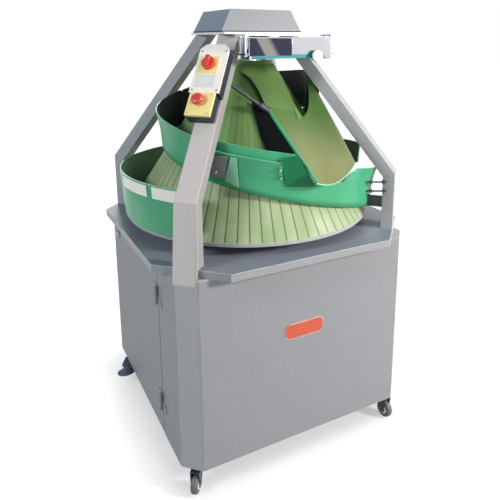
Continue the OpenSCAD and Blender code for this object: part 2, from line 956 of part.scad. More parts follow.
module collar_solid(extra) {
    loft([for (turn = turns(collar_turn, track_step))
        collar_ring(turn, collar_foot(turn), collar_rim(turn), 0, track_t + extra)]);
}

module collar_track() {
    color(GREEN)
        collar_solid(0);
}

strip_spans = [[110, 126], [129, 150]];
strip_drop = 4;

module rim_strips() {
    color(WHITE)
        for (span = strip_spans)
            loft([for (turn = turns(span, track_step / 2))
                collar_ring(turn, collar_rim(turn) - strip_band - strip_drop, collar_rim(turn) - strip_drop,
                    track_t + run_fit, track_t + run_fit + strip_t)]);
}

// Outside of a wall of the spiral at a turn and height
function wall_outside(turn, rim, wall, z) = let (
    bend = track_bend * (rim - track_gap),
    spread = rim - track_gap - bend,
    up = (z - track_z(turn) - bend) / (wall - bend),
    slope = 2 * spread * up / (wall - bend))
    cone_r(track_z(turn)) + track_gap + bend + spread * up * up + track_t * sqrt(1 + slope * slope);

bracket_fit = 0.3;

// An upright plate from a track's wall to a pillar's inner face, at a turn of the track
module bracket_plate(turn, low, high, wall_low, wall_high) {
    rotate(track_angle(turn))
        rotate([90, 0, 0])
        translate([0, 0, -bracket_t / 2])
        linear_extrude(bracket_t)
        polygon([[wall_low - track_t / 2, low], [pillar_inside(low), low],
            [pillar_inside(high), high], [wall_high - track_t / 2, high]]);
}

module spiral_bracket(turn, rim, wall, low, high) {
    z0 = track_z(turn) + low * wall;
    z1 = track_z(turn) + high * wall;
    bracket_plate(turn, z0, z1, wall_outside(turn, rim, wall, z0), wall_outside(turn, rim, wall, z1));
}

module collar_bracket(turn, low, high) {
    z0 = mix(collar_foot(turn), collar_rim(turn), low);
    z1 = mix(collar_foot(turn), collar_rim(turn), high);
    bracket_plate(turn, z0, z1, collar_r(z0) + track_t, collar_r(z1) + track_t);
}

// Brackets at the ends of the stretches and on the pillars
module track_brackets() {
    end_inset = 2;
    low = 0.35;
    high = 0.7;
    right_low = 0.02;
    right_high = 0.3;
    right_end = right_turn + end_inset;
    near_front = front_turn[1] - end_inset;
    near_upper = upper_turn[0] + end_inset;
    left_upper = upper_turn[1] - end_inset;
    color(DARK)
        difference() {
            union() {
                spiral_bracket(right_end, front_rim(right_end), front_wall(right_end), right_low, right_high);
                spiral_bracket(near_front, front_rim(near_front), front_wall(near_front), low, high);
                spiral_bracket(near_upper, upper_rim(near_upper), upper_wall, low, high);
                spiral_bracket(left_upper, upper_rim(left_upper), upper_wall, low, high);
                spiral_bracket(rear_pillar_turn, rear_rim(rear_pillar_turn), upper_wall, low, high);
                for (turn = [near_turn + end_inset, left_turn, rear_pillar_turn])
                    collar_bracket(turn, low, high);
            }
            front_wall_solid(track_t + bracket_fit);
            upper_wall_solid(track_t + bracket_fit);
            rear_wall_solid(track_t + bracket_fit);
            collar_solid(bracket_fit);
        }
}

// Chute

// Inner edge, outer edge and bottom of the trough, as [angle, height above the cone's base]
chute_top = [[262.7, 381], [320.5, 492], [293, 346]];
chute_end = [[270.9, 179], [292.3, 216], [281.7, 171]];
chute_bottom_gap = 48;
chute_pillar_gap = 11;
chute_parts = 12;
chute_stations = 8;

function chute_points(share) = let (
    zs = [for (p = chute_top) cone_z + p[1]],
    tops = [polar(chute_top[0][0], cone_r(zs[0]) + chute_gap, zs[0]),
        polar(chute_top[1][0], pillar_inside(zs[1]) - chute_pillar_gap, zs[1]),
        polar(chute_top[2][0], cone_r(zs[2]) + chute_bottom_gap, zs[2])],
    ends = [for (p = chute_end) polar(p[0], cone_base_r + chute_reach, cone_z + p[1])])
    [for (i = [0 : 2]) mix(tops[i], ends[i], share)];

// Points of the trough with their normals, on a parabola through the three points
function chute_line(share) = let (
    p = chute_points(share),
    sag = p[2] - (p[0] + p[1]) / 2,
    plane = cross(p[1] - p[0], p[2] - p[0]))
    [for (i = [0 : chute_parts]) let (
        u = i / chute_parts,
        along = p[1] - p[0] + 4 * (1 - 2 * u) * sag,
        side = cross(plane, along))
        [p[0] * (1 - u) + p[1] * u + 4 * u * (1 - u) * sag, -side / norm(side)]];

function chute_ring(share) = let (line = chute_line(share))
    concat([for (p = line) p[0] - chute_t * p[1]], reversed([for (p = line) p[0]]));

// The trough filled a little past its edges, to cut what carries it
function chute_block_ring(share) = let (
    line = chute_line(share),
    p = chute_points(share),
    lift = p[0] + p[1] - 2 * p[2],
    rise = chute_t / 2 * lift / norm(lift))
    concat([for (q = line) q[0] - (chute_t + bracket_fit) * q[1]],
        reversed([for (i = [0 : chute_parts]) mix(line[0][0], line[chute_parts][0], i / chute_parts) + rise]));

strut_drop = 132;
strut_from = polar(NEAR, lean_reach(crown_z - strut_drop), crown_z - strut_drop);
lug_share = 0.04;
lug_offset = [-16, -2, 6];
strut_to = chute_points(lug_share)[0] + lug_offset;
lug_r = 11;
lug_l = 34;

// A sheet over the cone that leads down into the trough: its left and right edges as [angle, height above the base]
feed_left = [[262.5, 374], [257, 433], [249, 471], [237, 493], [231, 514]];
feed_right = [[290, 349], [297, 393], [299, 430], [299, 472], [296, 514]];
feed_gap = 16;
feed_lift = 18;
feed_parts = 8;
// Room left beside the sheet's left edge, in degrees, and below it
feed_edge = [0.3, 0.5];
feed_rows = len(feed_left) - 1;

function feed_line(row, thickness, edge) = [for (i = [0 : feed_parts]) let (
    across = i / feed_parts,
    place = mix(feed_left[row] - edge, feed_right[row], across),
    z = cone_z + place[1],
    gap = feed_gap + feed_lift * row / feed_rows * (1 - across))
    polar(place[0], cone_r(z) + gap + thickness, z)];

module feed_sheet(extra, edge) {
    loft([for (row = [0 : feed_rows])
        concat(feed_line(row, chute_t + extra, edge), reversed(feed_line(row, -extra, edge)))]);
}

module chute() {
    color(OLIVE) {
        loft([for (i = [0 : chute_stations]) chute_ring(i / chute_stations)]);
        feed_sheet(0, [0, 0]);
    }
}

module chute_block() {
    loft([for (i = [0 : chute_stations]) chute_block_ring(i / chute_stations)]);
}

// A rod from the near pillar, with a clamp on the trough's inner edge
module chute_strut() {
    run = strut_to - strut_from;
    lug_from = strut_to - run * lug_l / (2 * norm(run));
    lug_to = strut_to + run * lug_l / (2 * norm(run));
    color(DARK)
        difference() {
            union() {
                bar(strut_from, strut_to, strut_r);
                bar(lug_from, lug_to, lug_r);
            }
            pillar_solid(NEAR);
            chute_block();
            feed_sheet(bracket_fit, feed_edge);
        }
}

// Flour duster

duster_back = -crown_w / 2 - duster_gap;
duster_front = duster_back - duster_d;
duster_left = duster_x - duster_l / 2;
duster_right = duster_x + duster_l / 2;
hanger_t = 4;
duster_top = crown_z - hanger_t - 5;
duster_low = duster_top - duster_h;
ear_l = 12;
ear_t = 4;
ear_up = 8;
rod_inset = 12;
rod_xs = [duster_left - ear_l / 2, duster_right + ear_l / 2];
rod_ys = [duster_front + rod_inset, duster_back - rod_inset];

// A bar behind the duster with a tab at each end, under the crown; the ears hang on four rods
module duster_hanger() {
    bar_d = 24;
    seat_d = 90;
    nut_h = 5;
    rod_low = duster_low + ear_up - nut_h;
    neck_half = (crown_reach - pillar_w / 2 - level_half_t) / sqrt(2) - 4;
    color(STEEL) {
        box_at([duster_left - ear_l, duster_back, crown_z - hanger_t],
            [duster_right + ear_l, duster_back + bar_d, crown_z]);
        for (x = [duster_left - ear_l, duster_right])
            box_at([x, duster_front, crown_z - hanger_t], [x + ear_l, duster_back + bar_d, crown_z]);
        box_at([-neck_half, duster_back, crown_z - hanger_t], [neck_half, -crown_w / 2 + seat_d, crown_z]);
        for (x = rod_xs, y = rod_ys)
            translate([x, y, rod_low]) {
                cylinder(h = crown_z - hanger_t / 2 - rod_low, r = rod_r);
                cylinder(h = nut_h, r = 1.4 * rod_r, $fn = 6);
            }
    }
}

slot_w = 10;
slot_inset = 40;
strap_w = 10;
strap_t = 2;
shutter_inset = 12;

module duster_box() {
    floor_room = shutter_t + 2 * clear;
    strap_xs = [duster_left, duster_right - strap_w];
    color(DARK)
        difference() {
            union() {
                box_at([duster_left, duster_front, duster_low], [duster_right, duster_back, duster_top]);
                box_at([duster_left - ear_l, duster_front, duster_low + ear_up],
                    [duster_right + ear_l, duster_back, duster_low + ear_up + ear_t]);
                for (x = strap_xs) {
                    box_at([x, duster_front, duster_low - floor_room - strap_t],
                        [x + strap_w, duster_back, duster_low - floor_room]);
                    for (y = [duster_front, duster_back - strap_t])
                        box_at([x, y, duster_low - floor_room - strap_t], [x + strap_w, y + strap_t, duster_low]);
                }
            }
            box_at([duster_left + duster_wall, duster_front + duster_wall, duster_low + duster_wall],
                [duster_right - duster_wall, duster_back - duster_wall, duster_top + past]);
            box_at([duster_left + slot_inset, (duster_front + duster_back - slot_w) / 2, duster_low - past],
                [duster_right - slot_inset, (duster_front + duster_back + slot_w) / 2, duster_low + duster_wall + past]);
            for (x = rod_xs, y = rod_ys)
                translate([x, y, duster_low])
                    cylinder(h = duster_h, r = rod_r + seat_fit);
        }
}

// A sliding plate under the slot, with an upturned front edge and a knob
module duster_shutter() {
    plate_low = duster_low - clear - shutter_t;
    edge_h = 12;
    lip_from = duster_left + strap_w + 2;
    lip_to = duster_right - strap_w - 2 - shutter_travel;
    knob_x = lip_to - 2 * shutter_knob_r;
    knob_h = 12;
    stem_l = 6;
    color(GREEN) {
        box_at([duster_left + 2, duster_front + strap_t + clear, plate_low],
            [duster_right - 2 - shutter_travel, duster_back - strap_t - clear, plate_low + shutter_t]);
        box_at([lip_from, duster_front - clear - strap_t, plate_low],
            [lip_to, duster_front + shutter_inset, plate_low + shutter_t]);
        box_at([lip_from, duster_front - clear - strap_t, plate_low],
            [lip_to, duster_front - clear, plate_low + edge_h]);
    }
    color(WHITE)
        translate([knob_x, duster_front - clear - strap_t, plate_low + edge_h / 2])
        rotate([90, 0, 0]) {
            cylinder(h = stem_l, r = edge_h / 2);
            translate([0, 0, stem_l])
                cylinder(h = knob_h, r = shutter_knob_r);
        }
}

// Controls on the near pillar's leaning face: X points out of the face, Y to the right, Z up the pillar

control_shift = -12;

module near_face() {
    rotate(NEAR)
        translate([pillar_reach, 0, bend_z])
        rotate([0, -lean, 0])
        translate([pillar_t / 2, control_shift, 0])
        children();
}

// An outline in the face's Y and Z, drawn out to a depth
module face_slab(from, depth) {
    translate([from, 0, 0])
        rotate([90, 0, 90])
        linear_extrude(depth)
        children();
}

control_corner = 18;

module control_plan(inset) {
    w = control_w / 2 - inset;
    low = control_up + inset;
    high = control_up + control_l - inset;
    polygon([[-w, low], [w, low], [w, high - control_corner], [w - control_corner, high],
        [-w + control_corner, high], [-w, high - control_corner]]);
}

selector_y = -6;
selector_rise = 101;
selector_up = control_up + selector_rise;
selector_r = 5;

module selector_bore(r) {
    translate([0, selector_y, selector_up])
        rotate([0, 90, 0])
        cylinder(h = 3 * control_d, r = r);
}

module control_box() {
    color(DARK)
        near_face()
        difference() {
            face_slab(0, control_d)
                control_plan(0);
            face_slab(control_wall, control_d)
                control_plan(control_wall);
        }
}

module control_cover() {
    color(WHITE)
        near_face()
        difference() {
            face_slab(control_d, cover_t)
                control_plan(0);
            selector_bore(selector_r + run_fit);
        }
}

plate_t = 2;

module switch_plate() {
    color(YELLOW)
        near_face()
        difference() {
            face_slab(control_d + cover_t, plate_t)
                translate([selector_y, selector_up])
                square(plate_w, center = true);
            selector_bore(selector_r + run_fit);
        }
}

module selector_knob() {
    face = control_d + cover_t + plate_t + clear;
    base_r = 21;
    base_h = 12;
    grip_l = 38;
    grip_w = 13;
    grip_h = 12;
    color(RED)
        near_face()
        translate([0, selector_y, selector_up])
        rotate([0, 90, 0]) {
            translate([0, 0, face])
                cylinder(h = base_h, r = base_r);
            translate([-grip_l / 2, -grip_w / 2, face + base_h])
                cube([grip_l, grip_w, grip_h]);
            translate([0, 0, control_d / 2])
                cylinder(h = face - control_d / 2 + past, r = selector_r);
        }
}

estop_mid = estop_up + estop_w / 2;
estop_offset = [-5, 8];

module estop_plan(inset) {
    translate([0, estop_mid])
        square(estop_w - 2 * inset, center = true);
}

module estop_axis() {
    near_face()
        translate([0, estop_offset[0], estop_mid + estop_offset[1]])
        rotate([0, 90, 0])
        children();
}

module estop_box() {
    color(DARK)
        near_face()
        difference() {
            face_slab(0, estop_d)
                estop_plan(0);
            face_slab(control_wall, estop_d)
                estop_plan(control_wall);
        }
}

module estop_cover() {
    color(YELLOW)
        difference() {
            near_face()
                face_slab(estop_d, estop_cover_t)
                estop_plan(0);
            estop_axis()
                cylinder(h = 3 * estop_d, r = stem_r + run_fit);
        }
}

module estop_button() {
    travel_room = 9;
    head_h = 16;
    face = estop_d + estop_cover_t;
    color(RED)
        estop_axis() {
            translate([0, 0, estop_d / 2])
                cylinder(h = face + travel_room - estop_d / 2 + past, r = stem_r);
            translate([0, 0, face + travel_room])
                rotate_extrude()
                polygon([[0, 0], [mushroom_r, 0], [mushroom_r, head_h / 2], [mushroom_r * 0.8, head_h * 0.85],
                    [mushroom_r * 0.45, head_h], [0, head_h]]);
        }
}

// Casters

caster_x = cabinet_w / 2 - caster_inset;
caster_y = cabinet_d / 2 - caster_inset;
kingpin_r = 5;
cheek_t = 3;
head_h = 12;
head_z = floor_z - caster_plate_t - clear - head_h;
wheel_gap = 1;
cheek_y = wheel_w / 2 + wheel_gap;

// Swivel place and the direction that each wheel trails in
CASTERS = [["near", -1, -1, 233], ["right", 1, -1, 276], ["rear", 1, 1, 30], ["left", -1, 1, 237]];

module at_caster(i) {
    translate([CASTERS[i][1] * caster_x, CASTERS[i][2] * caster_y, 0])
        rotate(CASTERS[i][3])
        children();
}

module caster_plates() {
    color(STEEL)
        for (i = [0 : 3])
            at_caster(i)
                ring(floor_z - caster_plate_t, caster_plate_t, caster_plate_r, kingpin_r + run_fit);
}

pedal_pin_r = 3;
pedal_x = trail + 6;
pedal_barrel_r = 5;
pedal_z = 2 * wheel_r + pedal_barrel_r + 1;

module crosswise(x, z, length, r) {
    translate([x, length / 2, z])
        rotate([90, 0, 0])
        cylinder(h = length, r = r);
}

module fork(i, has_pedal) {
    width = 2 * (cheek_y + cheek_t);
    back = -12;
    front = trail + 14;
    foot = wheel_r - 2 * axle_r;
    color(DARK)
        at_caster(i) {
            translate([0, 0, head_z])
                cylinder(h = head_h, r = 0.65 * caster_plate_r);
            translate([0, 0, head_z])
                cylinder(h = head_h + clear + caster_plate_t - past, r = kingpin_r);
            box_at([back, -width / 2, head_z], [front, width / 2, head_z + cheek_t]);
            for (y = [-width / 2, cheek_y])
                translate([0, y + cheek_t, 0])
                    rotate([90, 0, 0])
                    linear_extrude(cheek_t)
                    polygon([[back, head_z + cheek_t], [front, head_z + cheek_t],
                        [trail + 2 * axle_r, foot], [trail - 2 * axle_r, foot]]);
            crosswise(trail, wheel_r, width, axle_r);
            if (has_pedal)
                crosswise(pedal_x, pedal_z, width, pedal_pin_r);
        }
}

module fork_near() { fork(0, false); }

module fork_right() { fork(1, false); }

module fork_rear() { fork(2, false); }

module fork_left() { fork(3, true); }

module wheel(i) {
    round_r = 4;
    half = wheel_w / 2;
    color([0.55, 0.55, 0.56])
        at_caster(i)
        translate([trail, 0, wheel_r])
        rotate([90, 0, 0])
        rotate_extrude()
        polygon([[axle_r + run_fit, -half], [wheel_r - round_r, -half], [wheel_r, -half + round_r],
            [wheel_r, half - round_r], [wheel_r - round_r, half], [axle_r + run_fit, half]]);
}

module wheel_near() { wheel(0); }

module wheel_right() { wheel(1); }

module wheel_rear() { wheel(2); }

module wheel_left() { wheel(3); }

// A foot lever over the left rear wheel
module brake_pedal() {
    barrel_w = 2 * (cheek_y - wheel_gap);
    tongue = barrel_w / 2 - 2;
    plate = 4;
    slope = 8;
    flare_from = 14;
    color(DARK)
        at_caster(3)
        difference() {
            union() {
                crosswise(pedal_x, pedal_z, barrel_w, pedal_barrel_r);
                translate([pedal_x, 0, pedal_z])
                    rotate([0, slope, 0])
                    translate([0, 0, -plate / 2])
                    linear_extrude(plate)
                    polygon([[0, -tongue], [flare_from, -tongue], [2 * flare_from, -pedal_w / 2],
                        [pedal_l, -pedal_w / 2], [pedal_l, pedal_w / 2], [2 * flare_from, pedal_w / 2],
                        [flare_from, tongue], [0, tongue]]);
            }
            crosswise(pedal_x, pedal_z, 2 * barrel_w, pedal_pin_r + run_fit);
        }
}

base_plate();
corner_posts();
front_panel();
right_panel();
rear_panel();
side_strip();
top_rails();
worktop();
pillar_near();
pillar_right();
pillar_rear();
pillar_left();
crown_plate();
hood();
bearing_column();
bearings();
shaft_seal();
motor_stand();
gearbox();
motor();
drive_belt();
cable_gland();
collar_track();
front_track();
upper_track();
rear_track();
track_liner();
rim_strips();
track_brackets();
chute();
chute_strut();
duster_hanger();
duster_box();
control_box();
control_cover();
switch_plate();
estop_box();
estop_cover();
caster_plates();
cone_shaft();
cone_base_ring();
cone_hub();
cone_shell();
cone_top_disc();
driven_pulley();
drive_pulley();
door_panel();
door_lock();
selector_knob();
estop_button();
duster_shutter();
fork_near();
fork_right();
fork_rear();
fork_left();
wheel_near();
wheel_right();
wheel_rear();
wheel_left();
brake_pedal();
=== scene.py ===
"""The looks of a conical dough rounder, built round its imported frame. Lengths are in metres."""
import json
from math import cos, pi, radians, sin

import bmesh
import bpy
from mathutils import Matrix, Vector
from mathutils.bvhtree import BVHTree


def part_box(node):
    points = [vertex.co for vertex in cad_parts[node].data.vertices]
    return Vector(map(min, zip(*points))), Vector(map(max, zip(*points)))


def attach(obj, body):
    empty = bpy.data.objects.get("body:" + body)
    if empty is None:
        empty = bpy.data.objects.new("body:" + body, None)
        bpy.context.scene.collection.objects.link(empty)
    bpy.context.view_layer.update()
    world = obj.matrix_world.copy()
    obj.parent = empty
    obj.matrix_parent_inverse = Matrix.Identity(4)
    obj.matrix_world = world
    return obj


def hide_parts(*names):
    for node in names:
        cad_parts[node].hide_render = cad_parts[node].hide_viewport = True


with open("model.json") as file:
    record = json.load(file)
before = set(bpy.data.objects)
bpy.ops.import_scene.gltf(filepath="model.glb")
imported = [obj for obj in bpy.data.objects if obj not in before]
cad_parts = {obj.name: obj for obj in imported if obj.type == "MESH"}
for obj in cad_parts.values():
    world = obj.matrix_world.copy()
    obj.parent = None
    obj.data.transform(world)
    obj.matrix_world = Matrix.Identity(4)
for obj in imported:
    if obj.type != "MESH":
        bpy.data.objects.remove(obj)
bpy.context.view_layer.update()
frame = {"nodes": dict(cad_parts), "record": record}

# The photograph's camera, in the frame's metres and in pixels of a 500 pixel square image
IMAGE_PX = 500
FOCAL_PX = 538.9
CENTRE_PX = (268.9, 158.1)
SENSOR_MM = 36
CAMERA_PLACE = Vector((-0.8597, -1.7556, 1.3793))
CAMERA_TURN = radians(-28.45)
CAMERA_TILT = radians(12.36)
CAMERA_AXES = Matrix.Rotation(CAMERA_TURN, 3, "Z") @ Matrix.Rotation(pi / 2 - CAMERA_TILT, 3, "X")

# Points closer than this are one point, faces flatter than this are one face, edges over this are sharp
WELD = 0.00002
FLAT = radians(0.5)
SHARP = radians(35)

BEHAVIOUR = frame["record"]["behaviour"]
JOINTS = {joint["name"]: joint for joint in BEHAVIOUR["joints"]}
BODY_OF = {node: body for body, nodes in BEHAVIOUR["bodies"].items() for node in nodes}
SLOT_OF = {part["node"]: part["material_slot"] for part in frame["record"]["subparts"]}


def srgb(red, green, blue):
    """A colour given in 0 to 255 steps, as the linear colour that shaders take."""
    steps = [value / 255 for value in (red, green, blue)]
    return [((s + 0.055) / 1.055) ** 2.4 if s > 0.04045 else s / 12.92 for s in steps] + [1.0]


# Shader nodes

FLOAT = "NodeSocketFloat"
COLOUR = "NodeSocketColor"
NUMBERS = "ShaderNodeMath"
VECTORS = "ShaderNodeVectorMath"
WHITE = (1, 1, 1, 1)


def feed(tree, node, settings):
    """Gives a node's inputs their values, or links them where the value is a socket."""
    for label, value in settings.items():
        if isinstance(value, bpy.types.NodeSocket):
            tree.links.new(value, node.inputs[label])
        else:
            node.inputs[label].default_value = value


def add_noise(tree, scale, detail, vector):
    node = tree.nodes.new("ShaderNodeTexNoise")
    feed(tree, node, {"Scale": scale, "Detail": detail, "Vector": vector})
    return node.outputs["Fac"]


def add_range(tree, value, low, high, bottom=0.0, top=1.0):
    """Maps a value from low and high to bottom and top, held between them."""
    node = tree.nodes.new("ShaderNodeMapRange")
    feed(tree, node, {"Value": value, "From Min": low, "From Max": high, "To Min": bottom, "To Max": top})
    return node.outputs["Result"]


def add_mix(tree, factor, first, second):
    """The first colour where the factor is 0 and the second where it is 1."""
    node = tree.nodes.new("ShaderNodeMix")
    node.data_type = "RGBA"
    ends = [i for i, socket in enumerate(node.inputs) if socket.type == "RGBA"]
    feed(tree, node, {"Factor": factor, ends[0]: first, ends[1]: second})
    return next(socket for socket in node.outputs if socket.type == "RGBA")


def add_math(tree, operation, *values, kind=NUMBERS):
    """The outputs of a node that works on numbers or on vectors."""
    node = tree.nodes.new(kind)
    node.operation = operation
    feed(tree, node, dict(enumerate(values)))
    return node.outputs


def add_product(tree, first, *others):
    product = first
    for value in others:
        product = add_math(tree, "MULTIPLY", product, value)["Value"]
    return product


def split(tree, vector):
    """A vector's parts, by axis."""
    node = tree.nodes.new("ShaderNodeSeparateXYZ")
    feed(tree, node, {"Vector": vector})
    return node.outputs


def object_place(tree):
    return tree.nodes.new("ShaderNodeTexCoord").outputs["Object"]


def face_normal(tree):
    return tree.nodes.new("ShaderNodeNewGeometry").outputs["Normal"]


def height_share(tree, low, high):
    """0 under one height and 1 above the other."""
    return add_range(tree, split(tree, object_place(tree))["Z"], low, high)


def marked(tree, name):
    """A mark that a piece carries as an attribute."""
    node = tree.nodes.new("ShaderNodeAttribute")
    node.attribute_name = name
    return node.outputs["Fac"]


# Shader node groups

def new_group(name, inputs, outputs):
    """An empty shader group, the sockets that come in and the node that goes out."""
    group = bpy.data.node_groups.new(name, "ShaderNodeTree")
    for direction, sockets in (("INPUT", inputs), ("OUTPUT", outputs)):
        for label, kind in sockets.items():
            group.interface.new_socket(label, in_out=direction, socket_type=kind)
    return group, group.nodes.new("NodeGroupInput").outputs, group.nodes.new("NodeGroupOutput")


def make_coat_group():
    """Patches of two close tones, a roughness that wanders, and a fine grain for a bump."""
    group, entry, leave = new_group(
        "coat",
        {"Base": COLOUR, "Shade": COLOUR, "Patch Scale": FLOAT, "Stretch": FLOAT, "Rough Low": FLOAT,
         "Rough High": FLOAT, "Grain Scale": FLOAT},
        {"Color": COLOUR, "Roughness": FLOAT, "Height": FLOAT})
    place = object_place(group)
    ratio = group.nodes.new("ShaderNodeCombineXYZ")
    feed(group, ratio, {"X": 1, "Y": 1, "Z": entry["Stretch"]})
    stretched = add_math(group, "MULTIPLY", place, ratio.outputs["Vector"], kind=VECTORS)["Vector"]
    patches = add_noise(group, entry["Patch Scale"], 5, stretched)
    blotch = add_range(group, patches, 0.33, 0.67)
    feed(group, leave, {
        "Color": add_mix(group, blotch, entry["Base"], entry["Shade"]),
        "Roughness": add_range(group, patches, 0.3, 0.7, entry["Rough Low"], entry["Rough High"]),
        "Height": add_noise(group, entry["Grain Scale"], 2, place)})
    return group


def make_dust_group():
    """Flour that settles on faces that look up, thicker in some spots."""
    group, entry, leave = new_group(
        "flour dust", {"Color": COLOUR, "Dust": COLOUR, "Amount": FLOAT}, {"Color": COLOUR})
    upward = add_range(group, split(group, face_normal(group))["Z"], 0.0, 0.9)
    spots = add_range(group, add_noise(group, 9, 6, object_place(group)), 0.35, 0.7)
    cover = add_product(group, upward, spots, entry["Amount"])
    feed(group, leave, {"Color": add_mix(group, cover, entry["Color"], entry["Dust"])})
    return group


def make_rub_group():
    """Rounded edges rubbed towards a paler tone, where the piece carries the mark rub."""
    group, entry, leave = new_group(
        "edge rub", {"Color": COLOUR, "Rubbed": COLOUR, "Amount": FLOAT}, {"Color": COLOUR})
    breaks = add_range(group, add_noise(group, 45, 4, object_place(group)), 0.35, 0.6)
    cover = add_product(group, marked(group, "rub"), breaks, entry["Amount"])
    feed(group, leave, {"Color": add_mix(group, cover, entry["Color"], entry["Rubbed"])})
    return group


COAT = make_coat_group()
DUST = make_dust_group()
RUB = make_rub_group()


def place_group(tree, group, settings):
    """The outputs of a group that is set in a material."""
    node = tree.nodes.new("ShaderNodeGroup")
    node.node_tree = group
    feed(tree, node, settings)
    return node.outputs


# Materials

FLOUR = srgb(226, 222, 205)
PALE_EDGE = srgb(214, 214, 214)
PANEL_TONES = (srgb(147, 148, 151), srgb(139, 141, 145))
BUMP_DEPTH = 0.0006
COAT_ROUGHNESS = 0.12


def new_material(name):
    material = bpy.data.materials.new(name)
    material.use_nodes = True
    return material, material.node_tree, material.node_tree.nodes["Principled BSDF"]


def coated(name, base, shade, patch=6.0, stretch=1.0, rough=(0.3, 0.5), grain=300.0, bump=0.1, rubbed=None,
           dust=None, metallic=0.0, coat=0.0, side=None, shine=0.5):
    """A coat of paint, plastic or metal: two tones, grain, rubbed edges, flour, and a tone of painted shade
    for one side.

    Rubbed and dust are a tone and an amount. A side is painted shade: an axis, the share of a face's normal
    along it where the side's tone starts and where it is full, and the tone.
    """
    material, tree, shader = new_material(name)
    layer = place_group(tree, COAT, {
        "Base": base, "Shade": shade, "Patch Scale": patch, "Stretch": stretch, "Rough Low": rough[0],
        "Rough High": rough[1], "Grain Scale": grain})
    colour = layer["Color"]
    # Painted shade on the faces turned to one side
    if side:
        axis, start, full, tone = side
        share = add_range(tree, split(tree, face_normal(tree))[axis], start, full)
        colour = add_mix(tree, share, colour, tone)
    if rubbed:
        settings = {"Color": colour, "Rubbed": rubbed[0], "Amount": rubbed[1]}
        colour = place_group(tree, RUB, settings)["Color"]
    if dust:
        settings = {"Color": colour, "Dust": dust[0], "Amount": dust[1]}
        colour = place_group(tree, DUST, settings)["Color"]
    raised = tree.nodes.new("ShaderNodeBump")
    feed(tree, raised, {"Strength": bump, "Distance": BUMP_DEPTH, "Height": layer["Height"]})
    feed(tree, shader, {
        "Base Color": colour, "Roughness": layer["Roughness"], "Normal": raised.outputs["Normal"],
        "Metallic": metallic, "Specular IOR Level": shine, "Coat Weight": coat,
        "Coat Roughness": COAT_ROUGHNESS})
    return material


def base_colour(material):
    """A material's node tree, its shader and the socket that colours it."""
    tree = material.node_tree
    shader = tree.nodes["Principled BSDF"]
    return tree, shader, shader.inputs["Base Color"].links[0].from_socket


def hammer_grey(name, base, shade, side=None):
    """Grey paint with a fine hammered grain."""
    return coated(name, base, shade, patch=210, rough=(0.42, 0.54), grain=520, bump=0.16,
                  rubbed=(PALE_EDGE, 0.45), side=side, shine=0.2)


def chute_olive():
    """Olive, with rubbed edges and flour, and a deeper green towards the top of the trough."""
    material = coated("chute olive", srgb(134, 136, 88), srgb(118, 126, 74), patch=5, stretch=0.5,
                      rough=(0.4, 0.54), grain=260, bump=0.08, rubbed=(srgb(176, 188, 140), 0.6),
                      dust=(FLOUR, 0.12), shine=0.3)
    tree, shader, worn = base_colour(material)
    colour = add_mix(tree, height_share(tree, 1.0, 1.14), worn, srgb(88, 119, 62))
    feed(tree, shader, {"Base Color": colour})
    return material


def cone_green():
    """Pale green with streaks down the slope, deeper green above as painted shade, and painted shade where
    the grooves are marked.
    """
    material = coated("cone green", srgb(160, 176, 136), srgb(138, 160, 112), patch=16, stretch=0.12,
                      rough=(0.42, 0.56), grain=240, bump=0.08, dust=(FLOUR, 0.3), shine=0.3)
    tree, shader, colour = base_colour(material)
    # Painted shade: a deeper green towards the top
    colour = add_mix(tree, height_share(tree, 0.92, 1.06), colour, srgb(114, 150, 88))
    # Painted shade in the grooves
    colour = add_mix(tree, marked(tree, "groove"), colour, srgb(108, 124, 84))
    feed(tree, shader, {"Base Color": colour})
    return material


# The pane's painted reflection, a paler band: how much of Z is added to X, and where on that sum it rises and
# falls
REFLECTION_SLANT = 0.6
REFLECTION_RISE = (0.732, 0.74)
REFLECTION_FALL = (0.79, 0.77)


def window_blue():
    """Dark glossy blue with a painted reflection, one slanted paler band, across it."""
    material = coated("window blue", srgb(18, 22, 58), srgb(11, 13, 30), patch=14, stretch=0.4,
                      rough=(0.06, 0.12), grain=400, bump=0.01, coat=0.2)
    tree, shader, colour = base_colour(material)
    place = split(tree, object_place(tree))
    slant = add_math(tree, "MULTIPLY_ADD", place["Z"], REFLECTION_SLANT, place["X"])["Value"]
    # Painted reflection: a slanted paler band
    band = add_product(tree, add_range(tree, slant, *REFLECTION_RISE), add_range(tree, slant, *REFLECTION_FALL))
    feed(tree, shader, {"Base Color": add_mix(tree, band, colour, srgb(134, 128, 124))})
    return material


